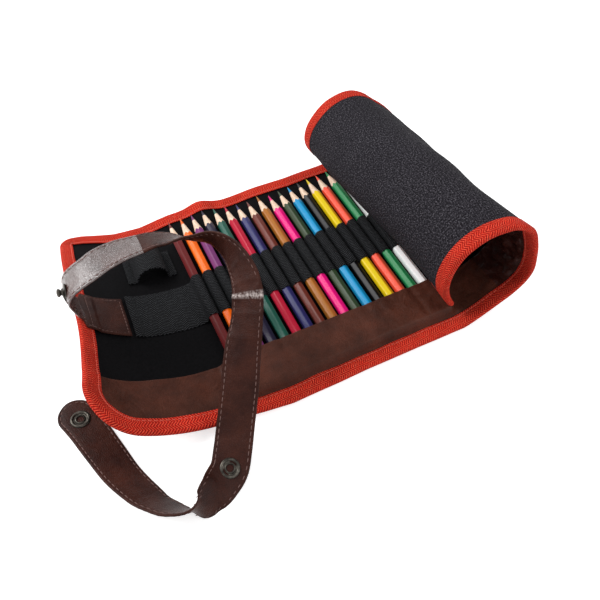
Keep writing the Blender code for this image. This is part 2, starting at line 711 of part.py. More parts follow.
def make_elastic(collection, materials):
    """Elastic band: plain at the left, then a loop over each pencil, stitched down between."""
    low = POCKET_BOTTOM
    flank = PENCIL_CORNERS / 2 + GAP + 0.07 * MM
    crown = PENCIL_CORNERS / 4 + 0.25 * MM
    top = PENCIL_TOP + GAP
    valley = PENCIL_AXIS_Z + 0.9 * MM
    rib = 0.05 * MM
    below = []
    above = []

    def add(x, under, over, over_x=None):
        below.append((u_at_x(x), under))
        above.append((u_at_x(x if over_x is None else over_x), over))
    for u in [ELASTIC_END_U] + curl_stations(ELASTIC_END_U + 1 * MM):
        below.append((u, low))
        above.append((u, low + ELASTIC_THICKNESS))
    start = FIRST_PENCIL_X - PENCIL_PITCH / 2
    add(start - 3 * MM, low, low + ELASTIC_THICKNESS)
    for number in range(PENCIL_COUNT):
        x = FIRST_PENCIL_X + number * PENCIL_PITCH
        if number == 0:
            add(x - flank - ELASTIC_WEB, low, low + ELASTIC_THICKNESS + 2 * MM)
        add(x - flank - rib, low, valley + ELASTIC_THICKNESS + rib)
        add(x - flank, valley, valley + ELASTIC_THICKNESS + 2 * rib)
        add(x - crown, top, top + ELASTIC_THICKNESS)
        add(x + crown, top, top + ELASTIC_THICKNESS)
        add(x + flank, valley, valley + ELASTIC_THICKNESS + 2 * rib)
        add(x + flank + rib, low, valley + ELASTIC_THICKNESS + rib)
    add(x + flank + ELASTIC_WEB, low, low + ELASTIC_THICKNESS + 2 * MM)
    add(x + flank + ELASTIC_WEB + 3 * MM, low, low + ELASTIC_THICKNESS)
    for u in shaped_stations():
        if u > u_at_x(x + flank + ELASTIC_WEB + 4 * MM):
            below.append((u, low))
            above.append((u, low + ELASTIC_THICKNESS))
    vs = (ELASTIC_NEAR_V, ELASTIC_FAR_V)
    mesh = solid_between(len(below), 2,
                         lambda i, j: wrap_point(above[i][0], vs[j], above[i][1]),
                         lambda i, j: wrap_point(below[i][0], vs[j], below[i][1]))
    link_object("pencil_elastic", mesh, materials["elastic"], collection)


def make_sharpener_loop(collection, materials):
    """Webbing arch sewn down by its two feet, open along Y."""
    half = LOOP_INSIDE_WIDTH / 2
    low = POCKET_BOTTOM
    below = [(-half - LOOP_FOOT, low), (-half, low)]
    above = [(-half - LOOP_FOOT, low + LOOP_THICKNESS),
             (-half - LOOP_THICKNESS, low + LOOP_THICKNESS)]
    for angle in range(180, -1, -20):
        cosine = math.cos(math.radians(angle))
        sine = math.sin(math.radians(angle)) ** 0.7 if 0 < angle < 180 else 0.0
        rise = 0.3 * MM
        below.append((half * cosine * 0.98, low + rise + LOOP_INSIDE_HEIGHT * sine))
        outer = half + LOOP_THICKNESS
        above.append((outer * cosine, low + LOOP_THICKNESS + rise + LOOP_INSIDE_HEIGHT * sine))
    below += [(half, low), (half + LOOP_FOOT, low)]
    above += [(half + LOOP_THICKNESS, low + LOOP_THICKNESS),
              (half + LOOP_FOOT, low + LOOP_THICKNESS)]
    below[1] = (-half - 0.1 * MM, low)
    above[1] = (-half - LOOP_THICKNESS - 0.1 * MM, low + LOOP_THICKNESS)
    below[-2] = (half + 0.1 * MM, low)
    above[-2] = (half + LOOP_THICKNESS + 0.1 * MM, low + LOOP_THICKNESS)
    vs = (LOOP_CENTRE_Y - LOOP_WIDTH / 2, LOOP_CENTRE_Y + LOOP_WIDTH / 2)

    def place(points):
        return lambda i, j: wrap_point(LOOP_CENTRE_U + points[i][0], vs[j], points[i][1])
    mesh = solid_between(len(below), 2, place(above), place(below))
    link_object("sharpener_loop", mesh, materials["elastic"], collection)


def make_patch(collection, materials):
    """Sewn end of the strap on the lining, reaching over the left binding to the fold."""
    us = merged(spread(PATCH_FOLD_U, BORDER, 3), spread(BORDER + PATCH_STEP, PATCH_LENGTH, 4))

    def place(extra):
        def at(i, j):
            share = min((us[i] - PATCH_FOLD_U) / (BORDER - PATCH_FOLD_U), 1.0)
            width = STRAP_WIDTH + (PATCH_WIDTH - STRAP_WIDTH) * share
            v = PATCH_CENTRE_V + (j / 2 - 0.5) * width
            bottom = PATCH_BOTTOM if us[i] < BORDER + 1 * MM else POCKET_BOTTOM
            return wrap_point(us[i], v, bottom + extra)
        return at
    mesh = solid_between(len(us), 3, place(STRAP_THICKNESS), place(0.0))
    link_object("strap_anchor_patch", mesh, materials["leather"], collection)


class StrapLine:
    """Smooth middle line of the strap through its route, with the direction across it."""

    def __init__(self):
        fold = wrap_point(PATCH_FOLD_U, PATCH_CENTRE_V, STRAP_LEVEL)
        beyond = wrap_point(PATCH_FOLD_U + STRAP_LEAD, PATCH_CENTRE_V, STRAP_LEVEL)
        beside = wrap_point(PATCH_FOLD_U, PATCH_CENTRE_V + STRAP_WIDTH / 2, STRAP_LEVEL)
        across = (beside - fold).normalized()
        moved = fold - Vector(ROUTE_FOLD) * ROUTE_UNIT
        self.points = [beyond, fold]
        for number, (point, _) in enumerate(STRAP_ROUTE):
            share = max(1 - number / ROUTE_FOLLOWS_FOLD, 0.0)
            self.points.append(Vector(point) * ROUTE_UNIT + moved * share)
        self.across = [across, across] + [Vector(side).normalized() for _, side in STRAP_ROUTE]
        self.points.append(2 * self.points[-1] - self.points[-2])
        self.across.append(self.across[-1])
        self.samples = []
        count = len(self.points) - 3
        for step in range(count * 12 + 1):
            self.samples.append((step / 12, self.spline(self.points, step / 12)))
        self.lengths = [0.0]
        for (_, a), (_, b) in zip(self.samples, self.samples[1:]):
            self.lengths.append(self.lengths[-1] + (b - a).length)
        self.total = self.lengths[-1]

    @staticmethod
    def spline(values, t):
        i = min(int(t), len(values) - 4)
        f = t - i
        a, b, c, d = values[i:i + 4]
        return 0.5 * ((2 * b) + (c - a) * f + (2 * a - 5 * b + 4 * c - d) * f * f
                      + (3 * b - a - 3 * c + d) * f ** 3)

    def length_at(self, t):
        return self.lengths[min(round(t * 12), len(self.lengths) - 1)]

    def t_at(self, length):
        low, high = 0, len(self.lengths) - 1
        while high - low > 1:
            middle = (low + high) // 2
            low, high = (middle, high) if self.lengths[middle] <= length else (low, middle)
        part = (length - self.lengths[low]) / (self.lengths[high] - self.lengths[low])
        return (low + part) / 12

    def frame(self, length):
        """Place, direction along, direction across and normal at a distance along the strap."""
        t = self.t_at(length)
        ahead = self.spline(self.points, min(t + 0.05, len(self.points) - 3.0001))
        behind = self.spline(self.points, max(t - 0.05, 0.0))
        along = (ahead - behind).normalized()
        across = self.spline(self.across, t)
        across = (across - along * across.dot(along)).normalized()
        return self.spline(self.points, t), along, across, along.cross(across)


def strap_mesh(line, start, end, round_tip=False):
    half = STRAP_WIDTH / 2
    stop = end - half if round_tip else end
    count = max(round((stop - start) / STRAP_STEP), 2)
    stations = [(length, half) for length in spread(start, stop, count)]
    if round_tip:
        for angle in (30.0, 50.0, 65.0, 78.0):
            stations.append((stop + half * math.sin(math.radians(angle)),
                             half * math.cos(math.radians(angle))))

    def place(side):
        def at(i, j):
            length, reach = stations[i]
            centre, _, across, normal = line.frame(length)
            return centre + across * reach * (j - 1) + normal * side * STRAP_THICKNESS / 2
        return at
    return solid_between(len(stations), 3, place(1), place(-1))


def turned_mesh(profile, frame, steps=20):
    """Turns a profile of radius and height, and stands it on the frame's normal."""
    origin, x_axis, y_axis, z_axis = frame
    mesh = bpy.data.meshes.new("profile")
    mesh.from_pydata([(r, 0.0, h) for r, h in profile],
                     [(i, (i + 1) % len(profile)) for i in range(len(profile))
                      if i + 1 < len(profile) or profile[0][0] > 0], [])
    obj = bpy.data.objects.new("profile", mesh)
    bpy.context.scene.collection.objects.link(obj)
    screw = obj.modifiers.new("turn", "SCREW")
    screw.axis = "Z"
    screw.angle = math.radians(360.0)
    screw.steps = steps
    screw.render_steps = steps
    screw.use_merge_vertices = True
    screw.merge_threshold = 0.00001
    screw.use_normal_calculate = True
    bpy.context.view_layer.update()
    evaluated = obj.evaluated_get(bpy.context.evaluated_depsgraph_get())
    turned = bpy.data.meshes.new_from_object(evaluated)
    bpy.data.objects.remove(obj, do_unlink=True)
    matrix = Matrix((
        (x_axis.x, y_axis.x, z_axis.x, origin.x),
        (x_axis.y, y_axis.y, z_axis.y, origin.y),
        (x_axis.z, y_axis.z, z_axis.z, origin.z),
        (0, 0, 0, 1)))
    turned.transform(matrix)
    bm = bmesh.new()
    bm.from_mesh(turned)
    bmesh.ops.recalc_face_normals(bm, faces=bm.faces[:])
    if bm.calc_volume(signed=True) < 0:
        bmesh.ops.reverse_faces(bm, faces=bm.faces[:])
    bm.to_mesh(turned)
    bm.free()
    turned.shade_smooth()
    turned.set_sharp_from_angle(angle=math.radians(35.0))
    return turned


def snap_frame(line, length, side, gap):
    """Frame of a snap on one face of the strap, its Z axis pointing away from the strap."""
    centre, along, across, normal = line.frame(length)
    z_axis = normal * side
    return centre + z_axis * (STRAP_THICKNESS / 2 + gap), along, z_axis.cross(along), z_axis


def socket_profile():
    rim = SNAP_RADIUS
    bore = SNAP_SOCKET_BORE
    top = SNAP_HEIGHT
    return ((rim, 0.0), (rim, 0.5 * top), (0.86 * rim, top), (0.62 * rim, top),
            (0.52 * rim, 0.55 * top), (bore, 0.55 * top), (bore, 0.0))


def cap_profile():
    """Domed cap whose post passes back through the strap into the socket."""
    reach = SNAP_GAP * 2 + STRAP_THICKNESS + SNAP_HEIGHT * 0.4
    rim = SNAP_RADIUS - 0.5 * MM
    return ((0.0, -reach), (SNAP_POST_RADIUS, -reach), (SNAP_POST_RADIUS, 0.0), (rim, 0.0),
            (rim, 0.4 * SNAP_CAP_HEIGHT), (0.6 * rim, SNAP_CAP_HEIGHT), (0.0, SNAP_CAP_HEIGHT))


def stud_profile():
    reach = STUD_GAP + STRAP_THICKNESS
    neck = STUD_POST_RADIUS * 0.75
    return ((0.0, -reach), (SNAP_POST_RADIUS, -reach), (SNAP_POST_RADIUS, 0.0),
            (STUD_RADIUS, 0.0), (STUD_RADIUS, 0.9 * MM), (neck, 0.9 * MM),
            (neck, 0.55 * STUD_HEIGHT), (STUD_POST_RADIUS, 0.7 * STUD_HEIGHT),
            (STUD_POST_RADIUS, 0.85 * STUD_HEIGHT), (0.5 * STUD_POST_RADIUS, STUD_HEIGHT),
            (0.0, STUD_HEIGHT))


def back_profile():
    return ((0.0, 0.0), (STUD_RADIUS * 0.6, 0.0), (STUD_RADIUS * 0.6, 0.5 * MM),
            (0.0, 0.8 * MM))


def punch_hole(obj, frame, cutters):
    """Cuts the hole of a snap's post through the strap piece."""
    origin, along, across, normal = frame
    bpy.ops.mesh.primitive_cylinder_add(vertices=20, radius=SNAP_HOLE_RADIUS, depth=HOLE_DEPTH)
    cutter = bpy.context.object
    cutter.name = f"hole_cutter_{obj.name}"
    for owner in list(cutter.users_collection):
        owner.objects.unlink(cutter)
    cutters.objects.link(cutter)
    cutter.matrix_world = Matrix.Translation(origin) @ normal.to_track_quat("Z", "Y").to_matrix().to_4x4()
    cutter.hide_render = True
    cutter.display_type = "WIRE"
    cut = obj.modifiers.new("snap_hole", "BOOLEAN")
    cut.operation = "DIFFERENCE"
    cut.object = cutter


def make_strap(collection, cutters, materials):
    line = StrapLine()
    fold = 0.0
    arch_end = line.length_at(STRAP_ARCH_END)
    fall_end = line.length_at(STRAP_FALL_END)
    tip = line.total
    half_gap = STRAP_FOLD_GAP / 2
    spans = (("strap_arch", fold + STRAP_START, arch_end - half_gap, False),
             ("strap_fall", arch_end + half_gap, fall_end - half_gap, False),
             ("strap_tail", fall_end + half_gap, tip, True))
    pieces = {}
    for name, start, end, round_tip in spans:
        origin = line.frame(start)[0]
        mesh = strap_mesh(line, start, end, round_tip)
        pieces[name] = link_object(name, mesh, materials["leather"], collection, origin)
        if round_tip:
            print("strap_tail hinge", tuple(round(c, 5) for c in origin))
        else:
            print(name, "starts at", tuple(round(c, 5) for c in origin),
                  "across", tuple(round(c, 4) for c in line.frame(start)[2]))
    print("strap length", round(tip, 4))

    stud_at = fold + STUD_FROM_FOLD
    tip_snap_at = tip - SNAP_END_MARGIN
    fall_snap_at = line.length_at(FALL_SNAP_AT)
    metal = materials["snap"]
    hardware = (
        ("snap_stud", stud_profile(), stud_at, 1),
        ("snap_stud_back", back_profile(), stud_at, -1),
        ("snap_fall_socket", socket_profile(), fall_snap_at, -1),
        ("snap_fall_cap", cap_profile(), fall_snap_at, 1),
        ("snap_tip_socket", socket_profile(), tip_snap_at, 1),
        ("snap_tip_cap", cap_profile(), tip_snap_at, -1),
    )
    for name, profile, length, side in hardware:
        frame = snap_frame(line, length, side, STUD_GAP if "stud" in name else SNAP_GAP)
        link_object(name, turned_mesh(profile, frame), metal, collection, frame[0])
    for name, length in (("strap_arch", stud_at), ("strap_fall", fall_snap_at),
                         ("strap_tail", tip_snap_at)):
        punch_hole(pieces[name], line.frame(length), cutters)


def build():
    clear_scene()
    collection = new_collection("pencil_roll")
    cutters = new_collection("cutters")
    materials = {
        "canvas": make_material("outer_canvas", CANVAS_LOOK),
        "lining": make_material("black_lining", LINING_LOOK),
        "tape": make_material("red_tape", TAPE_LOOK),
        "leather": make_material("brown_leather", LEATHER_LOOK),
        "elastic": make_material("black_elastic", ELASTIC_LOOK),
        "snap": make_material("gunmetal", SNAP_LOOK),
    }
    make_wrap(collection, materials)
    make_roll(collection, materials)
    make_pocket(collection, materials)
    make_elastic(collection, materials)
    make_sharpener_loop(collection, materials)
    make_patch(collection, materials)
    make_pencils(collection, cutters)
    make_strap(collection, cutters, materials)


build()
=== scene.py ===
"""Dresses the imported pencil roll: fabric, tape, leather, elastic, pencils and snaps.

The wrap is cut flat and bent. A point of it has three flat coordinates in metres: u runs along
the wrap from the left edge to the free end, v runs across it (minus is the near edge) and w is
the height above the outer face of the canvas. The function lay bends such points into the shape
that the open roll lies in. Every fabric piece is a closed sheet that lay has bent, and its UV
map "flat" keeps u and v, so that weave and stitches follow the cloth.
"""
import math

import bmesh
import bpy
import numpy as np
from mathutils import Matrix, Vector, noise


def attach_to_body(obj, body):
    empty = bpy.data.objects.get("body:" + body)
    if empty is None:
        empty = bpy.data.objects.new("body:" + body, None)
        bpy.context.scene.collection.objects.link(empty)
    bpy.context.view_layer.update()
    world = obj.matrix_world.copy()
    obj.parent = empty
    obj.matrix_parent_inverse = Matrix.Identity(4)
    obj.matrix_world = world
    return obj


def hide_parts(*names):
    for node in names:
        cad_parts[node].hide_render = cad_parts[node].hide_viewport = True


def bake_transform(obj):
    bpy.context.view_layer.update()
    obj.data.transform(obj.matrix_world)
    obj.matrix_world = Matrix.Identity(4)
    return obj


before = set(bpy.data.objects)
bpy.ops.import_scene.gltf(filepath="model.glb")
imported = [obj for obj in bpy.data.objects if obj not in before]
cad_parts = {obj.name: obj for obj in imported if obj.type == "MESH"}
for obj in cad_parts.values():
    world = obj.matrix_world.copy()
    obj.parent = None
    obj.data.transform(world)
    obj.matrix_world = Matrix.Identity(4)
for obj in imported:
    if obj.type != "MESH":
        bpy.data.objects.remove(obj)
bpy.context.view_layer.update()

MM = 0.001
TAU = 2 * math.pi

# Flat sizes of the wrap
HALF_WIDTH = 102.5 * MM
CURL_U = 92.0 * MM
CURL_X = -86.0 * MM
FLAT_SHIFT = CURL_U - CURL_X
ROLL_U = 282.0 * MM
END_U = 507.0 * MM
SEGMENT = (END_U - ROLL_U) / 6
SHAPED_U = 251.0 * MM
CORNER_NEAR_LEFT = 34.0 * MM
CORNER_FAR_LEFT = 11.5 * MM
CORNER_END = 11.3 * MM

# Heights of the layers above the outer face
CANVAS_TOP = 1.4 * MM
LINING_TOP = 2.2 * MM
POCKET_LOW = 2.35 * MM
TAPE_TOP = 3.3 * MM
TAPE_OVER_POCKET = 4.0 * MM
TAPE_THICK = 0.5 * MM
POCKET_MOUTH = -58.5 * MM
POCKET_BUTT = -86.5 * MM
POCKET_DEPTH = 43 * MM
ELASTIC_NEAR = -18.0 * MM
ELASTIC_FAR = 22.0 * MM
ELASTIC_TOP = POCKET_LOW + 0.9 * MM

# Pencils
PITCH = 9.6 * MM
FIRST_X = -76.8 * MM
PENCIL_COUNT = 17
PENCIL_Z = 6.9 * MM
PENCIL_FLATS = 6.8 * MM
BUTT_Y = -86.0 * MM
TIP_Y = [86, 86.5, 87, 88.5, 86, 84, 82, 81.5, 84, 80.5, 82, 82.8, 84.2, 85, 85.8, 87, 85]
SEAM_X = (-43.2 * MM, 62.4 * MM)

# Cross sections of the rolled end from u = SHAPED_U on, in millimetres of X and Z, for five
# places across the wrap. They turn the wrap's outer face and were chosen.
SECTIONS = (
    (-102.5, (
        (73, 0), (80, 0), (85, 0.3), (92, 3.5), (109, 13), (122, 19.8), (131.5, 28.5), (135.5, 39),
        (133.8, 52), (130, 66), (123, 81), (109.5, 90.5), (97, 92), (86, 90.5), (76, 85),
        (69, 76.5), (65, 65), (64, 51.5), (66, 39), (71.5, 25), (80.5, 10))),
    (-55.0, (
        (73, 0), (82, 0), (92, 1.2), (104, 4), (119, 9.5), (130, 17), (136.5, 27), (137, 39),
        (133, 51.5), (126.5, 64.5), (117.5, 77.5), (106.5, 86), (95.5, 88.5), (84, 87), (74.5, 81),
        (67.5, 72), (63.5, 61), (62.5, 48.5), (65, 36), (71, 25), (80.5, 15.5))),
    (0.0, (
        (73, 0), (84, 0), (97, 1.2), (112, 5.3), (126, 13), (134, 23.5), (137, 36), (134.5, 47.5),
        (128.5, 59), (118.5, 70), (108, 77.5), (96, 81), (84, 79.5), (72.5, 72.5), (64.5, 61),
        (60.2, 47.5), (60.7, 34.5), (67, 23.5), (80, 15))),
    (60.0, (
        (73, 0), (86, 0), (104, 0.5), (117.5, 4), (129, 10.5), (137, 21), (139.5, 33),
        (135.5, 44.5), (128, 54), (117.5, 62.5), (107, 69.5), (95, 73), (83, 72.5), (72, 66.5),
        (63, 56.5), (57.4, 44), (57.2, 31.5), (63.5, 21), (78.5, 14.5))),
    (102.5, (
        (73, 0), (88, 0), (106, 0.3), (119, 3.5), (129.5, 10), (137, 20), (139, 30.5),
        (135.5, 40.5), (127, 49.5), (117, 57.5), (108, 65), (97.5, 70), (86, 70), (73.2, 65.2),
        (63.5, 56), (57, 45), (55.5, 32), (60, 21), (68, 15), (77.5, 14.5))),
)
DRIFT_NEAR = 12.0 * MM
DRIFT_FAR = 4.0 * MM


# Bending the wrap

def catmull(points, samples=24):
    """Dense smooth line through points, an array of rows."""
    p = np.asarray(points, float)
    p = np.vstack([2 * p[0] - p[1], p, 2 * p[-1] - p[-2]])
    out = []
    for i in range(1, len(p) - 2):
        a, b, c, d = p[i - 1:i + 3]
        f = (np.arange(samples) / samples)[:, None]
        out.append(0.5 * (2 * b + (c - a) * f + (2 * a - 5 * b + 4 * c - d) * f ** 2
                          + (3 * b - a - 3 * c + d) * f ** 3))
    out.append(p[-2:-1])
    return np.vstack(out)


def lengths(line):
    """Distance along a line of points up to each of them."""
    return np.concatenate([[0], np.cumsum(np.linalg.norm(np.diff(line, axis=0), axis=1))])


def evenly(line, count):
    """The same line with count points at equal distances along it."""
    length = lengths(line)
    at = np.linspace(0, length[-1], count)
    return np.stack([np.interp(at, length, line[:, k]) for k in range(line.shape[1])], 1)


PROFILE_V = np.array([v for v, _ in SECTIONS]) * MM
PROFILES = [catmull(points) * MM for _, points in SECTIONS]


def smooth(x, low, high):
    """Goes smoothly from 0 at low to 1 at high."""
    t = np.clip((np.asarray(x, float) - low) / (high - low), 0, 1)
    return t * t * (3 - 2 * t)


def plateau(x, *edges):
    """Rises from 0 to 1 and falls again between four edges in millimetres."""
    a, b, c, d = (edge * MM for edge in edges)
    return smooth(x, a, b) * (1 - smooth(x, c, d))


def unit(rows):
    return rows / np.linalg.norm(rows, axis=-1, keepdims=True)


def square_to(rows, along):
    """Unit rows that are square to the unit rows along."""
    return unit(rows - along * np.sum(rows * along, 1)[:, None])


def across_weights(v):
    """Weights of the five cross sections at v, a smooth curve through all of them."""
    v = np.clip(v, PROFILE_V[0], PROFILE_V[-1])
    count = len(PROFILE_V)
    weights = np.zeros((len(v), count))
    k = np.clip(np.searchsorted(PROFILE_V, v, side="right") - 1, 0, count - 2)
    f = (v - PROFILE_V[k]) / (PROFILE_V[k + 1] - PROFILE_V[k])
    h = PROFILE_V[k + 1] - PROFILE_V[k]
    rows = np.arange(len(v))
    basis = (2 * f ** 3 - 3 * f ** 2 + 1, f ** 3 - 2 * f ** 2 + f,
             3 * f ** 2 - 2 * f ** 3, f ** 3 - f ** 2)
    weights[rows, k] += basis[0]
    weights[rows, k + 1] += basis[2]
    for end, part in ((k, basis[1]), (k + 1, basis[3])):
        low = np.maximum(end - 1, 0)
        high = np.minimum(end + 1, count - 1)
        slope = part * h / (PROFILE_V[high] - PROFILE_V[low])
        np.add.at(weights, (rows, high), slope)
        np.add.at(weights, (rows, low), -slope)
    return weights


def section_at(u, v):
    """X and Z of the outer face where the wrap is shaped by its cross sections."""
    distance = np.clip(u, SHAPED_U, END_U) - SHAPED_U
    rolled = np.clip((distance - (ROLL_U - SHAPED_U)) / (END_U - ROLL_U), 0, 1)
    weights = across_weights(v)
    out = np.zeros((len(u), 2))
    for k, line in enumerate(PROFILES):
        length = lengths(line)
        reach = distance + (length[-1] - (END_U - SHAPED_U)) * rolled
        for axis in range(2):
            out[:, axis] += weights[:, k] * np.interp(reach, length, line[:, axis])
    return out


def edge_waves(u, v):
    """Slight rise and fall of the wrap's long edges where it lies on the floor."""
    x = u - FLAT_SHIFT
    far = smooth(v, 62 * MM, 102 * MM)
    near = smooth(-v, 92 * MM, 103 * MM)
    bump = np.exp(-((x + 47 * MM) / (11 * MM)) ** 2) * 4.6 * MM
    ripple = (np.sin(x / (13 * MM)) + 0.6 * np.sin(x / (7.1 * MM) + 1.3)) * 0.35 * MM + 0.5 * MM
    return (far * (bump + ripple) + near * ripple * 0.9) * plateau(u, 55, 95, 225, 275)


def edge_pull(u, v):
    """How far the long edges are drawn in towards the middle, in metres of Y."""
    at = np.array([20, 50, 75, 92, 104, 125, 150, 180, 210, 250]) * MM
    near = np.interp(u, at, np.array([5.3, 5.2, 4.6, 3.6, 1.6, -1.0, -0.2, 0.3, 0.4, 0.6]) * MM)
    far = np.interp(u, at, np.array([1.2, 6.6, 7.0, 5.1, 3.6, 3.6, 4.7, 3.5, 3.5, 1.0]) * MM)
    inward = smooth(u, 86 * MM, 100 * MM)
    share = smooth((-v - (58 + 28 * inward) * MM) / (34 * MM - 24 * MM * inward), 0, 1)
    flat = 1 - smooth(u, 245 * MM, 290 * MM)
    return (near * share - far * smooth(v, 58 * MM, 98 * MM)) * flat


def lay(u, v, w):
    """Bends flat points, arrays of u, v and w, to where they lie: an array of X, Y and Z."""
    u, v, w = (np.atleast_1d(np.asarray(a, float)) for a in np.broadcast_arrays(u, v, w))
    out = np.zeros((len(u), 3))
    share = (v + HALF_WIDTH) / (2 * HALF_WIDTH)

    # The left end curls up; the length and the turn of its arc change across the wrap
    curl = u < CURL_U
    s = share[curl]
    near_side, far_side = np.maximum(1 - 2 * s, 0) ** 2, np.maximum(2 * s - 1, 0) ** 2
    length = (98 - 10 * s - 12 * s ** 2 + (14 + 30 * s) * near_side) * MM
    turn = np.radians(66 - 13 * s - 38 * s ** 2 - 4 * near_side - 2.5 * far_side)
    along = 1 - u[curl] / CURL_U
    radius = length / turn
    out[curl, 0] = CURL_X - (radius - w[curl]) * np.sin(turn * along)
    out[curl, 1] = v[curl] + 8 * MM * (1 - s) * along ** 2
    out[curl, 2] = radius - (radius - w[curl]) * np.cos(turn * along)

    flat = (u >= CURL_U) & (u <= SHAPED_U)
    out[flat] = np.stack([u[flat] - FLAT_SHIFT, v[flat], w[flat]], 1)

    # The rolled end follows the cross sections and drifts towards the far side
    rolled = u > SHAPED_U
    if rolled.any():
        step = 0.6 * MM
        ur, vr = u[rolled], v[rolled]
        here = section_at(ur, vr)
        ahead = section_at(np.minimum(ur + step, END_U), vr)
        behind = section_at(np.maximum(ur - step, SHAPED_U), vr)
        tangent = unit(ahead - behind)
        past = np.maximum(ur - END_U, 0)
        drift = smooth(ur, ROLL_U - 15.5 * MM, END_U)
        sr = share[rolled]
        out[rolled, 0] = here[:, 0] - tangent[:, 1] * w[rolled] + tangent[:, 0] * past
        out[rolled, 1] = vr + drift * (DRIFT_NEAR * (1 - sr) + DRIFT_FAR * sr)
        out[rolled, 2] = here[:, 1] + tangent[:, 0] * w[rolled] + tangent[:, 1] * past
    out[:, 1] += edge_pull(u, v)
    out[:, 2] += edge_waves(u, v)
    return out


def lay_one(u, v, w):
    return Vector(lay([u], [v], [w])[0])


def lay_grid(u, v, w):
    """lay for grids: u, v and w are arrays of one shape, and the result adds an axis."""
    return lay(u.ravel(), v.ravel(), w.ravel()).reshape(*u.shape, 3)


def lay_rows(u, v, w, du, dv, step):
    """Centres on the cloth with unit vectors along (du, dv) and up from it."""
    centre = lay(u, v, w)
    along = unit(lay(u + du * step, v + dv * step, w) - centre)
    return centre, along, square_to(lay(u, v, w + 1 * MM) - centre, along)


def rough(u, v, scale, seed=0.0):
    """Smooth noise between about -1 and 1 over flat coordinates, for arrays."""
    flat_u, flat_v = np.ravel(u), np.ravel(v)
    values = [noise.noise(Vector((a / scale, b / scale, seed))) for a, b in zip(flat_u, flat_v)]
    return np.array(values).reshape(np.shape(u)) * 1.6


# Meshes

def sheet_object(name, outer, inner, uv, material, sharp=50.0, extra=()):
    """Closed sheet between two grids of points (rows, columns, 3), with flat UVs."""
    n, m = outer.shape[:2]
    verts = np.vstack([outer.reshape(-1, 3), inner.reshape(-1, 3)])
    index = np.arange(n * m).reshape(n, m)
    back = index + n * m
    faces = [np.stack([index[:-1, :-1], index[1:, :-1], index[1:, 1:], index[:-1, 1:]], -1),
             np.stack([back[:-1, :-1], back[:-1, 1:], back[1:, 1:], back[1:, :-1]], -1)]
    faces = [quads.reshape(-1, 4) for quads in faces]
    rims = ((index[0, :], back[0, :]), (index[-1, ::-1], back[-1, ::-1]),
            (index[::-1, 0], back[::-1, 0]), (index[:, -1], back[:, -1]))
    for top, low in rims:
        faces.append(np.stack([top[:-1], top[1:], low[1:], low[:-1]], -1))
    flat = np.tile(uv.reshape(-1, 2), (2, 1))
    return finished(name, verts, np.vstack(faces), flat, [material], sharp, extra)


def finished(name, verts, faces, flat, materials, sharp, extra=(), slots=None):
    """Object from arrays. extra adds the arrays of other closed meshes, such as stitches."""
    mesh = bpy.data.meshes.new(name)
    slots = np.zeros(len(faces), int) if slots is None else slots
    for more_verts, more_faces, more_flat, slot in extra:
        slots = np.concatenate([slots, np.full(len(more_faces), slot)])
        faces = np.vstack([faces, more_faces + len(verts)])
        verts = np.vstack([verts, more_verts])
        flat = np.vstack([flat, more_flat])
    mesh.from_pydata(verts.tolist(), [], [list(dict.fromkeys(f)) for f in faces.tolist()])
    layer = mesh.uv_layers.new(name="flat")
    loops = np.zeros(len(mesh.loops), int)
    mesh.loops.foreach_get("vertex_index", loops)
    layer.data.foreach_set("uv", flat[loops].astype(np.float32).ravel())
    mesh.polygons.foreach_set("material_index", slots.astype(np.int32))
    for material in materials:
        mesh.materials.append(material)
    bm = bmesh.new()
    bm.from_mesh(mesh)
    bmesh.ops.recalc_face_normals(bm, faces=bm.faces[:])
    bm.to_mesh(mesh)
    bm.free()
    mesh.shade_smooth()
    mesh.set_sharp_from_angle(angle=math.radians(sharp))
    return new_object(name, mesh)


def new_object(name, data):
    obj = bpy.data.objects.new(name, data)
    bpy.context.scene.collection.objects.link(obj)
    return obj


def stitch_arrays(centres, alongs, ups, length, radius, flat):
    """Short rounded thread dashes, one at each centre, as one set of arrays.

    Their ends sink into the cloth by a share of the radius.
    """
    sink, sides, slot = 0.7, 6, 1
    stations = ((-0.5, 0.35), (-0.36, 0.9), (0.0, 1.0), (0.36, 0.9), (0.5, 0.35))
    ring = [(math.cos(TAU * k / sides), math.sin(TAU * k / sides)) for k in range(sides)]
    one = ring_faces(len(stations), sides)
    for k in (0, sides * (len(stations) - 1)):
        one += [(k, k + 1, k + 2, k + 5), (k + 2, k + 3, k + 4, k + 5)]
    verts, faces, uvs = [], [], []
    for centre, along, up, at in zip(centres, alongs, ups, flat):
        side = np.cross(up, along)
        base = len(verts)
        for where, wide in stations:
            sag = -sink * radius * (2 * abs(where)) ** 2
            for cosine, sine in ring:
                verts.append(centre + along * where * length + side * cosine * radius * wide
                             + up * (sine * radius * wide * 0.8 + sag))
                uvs.append(at)
        faces += [[base + k for k in face] for face in one]
    return np.array(verts), np.array(faces), np.array(uvs), slot


def mirrored(shares):
    """Shares from -1 to 0, continued up to 1."""
    return np.concatenate([shares, -np.array(shares)[:-1][::-1]])


def rim(gap, radius, least):
    """Height of a rounded rim, from nearly 0 at the edge to 1 at radius from it."""
    return np.sqrt(np.clip(1 - (1 - np.clip(gap / radius, 0, 1)) ** 2, least, 1))


def dent(distance, width):
    """A soft dent: 1 where distance is 0, and nearly 0 at twice the width."""
    return np.exp(-(distance / width) ** 2)


def ring_faces(rings, count):
    """Quads between rings of points, ring after ring."""
    return [(r * count + k, r * count + (k + 1) % count, (r + 1) * count + (k + 1) % count,
             (r + 1) * count + k) for r in range(rings - 1) for k in range(count)]


def cap_faces(ring, count):
    """Quads that close one ring of points."""
    base = ring * count
    return [(base, base + k, base + k + 1, base + k + 2) for k in range(1, count - 2, 2)]


def steps(start, end, size):
    return np.linspace(start, end, max(int(round((end - start) / size)), 1) + 1)


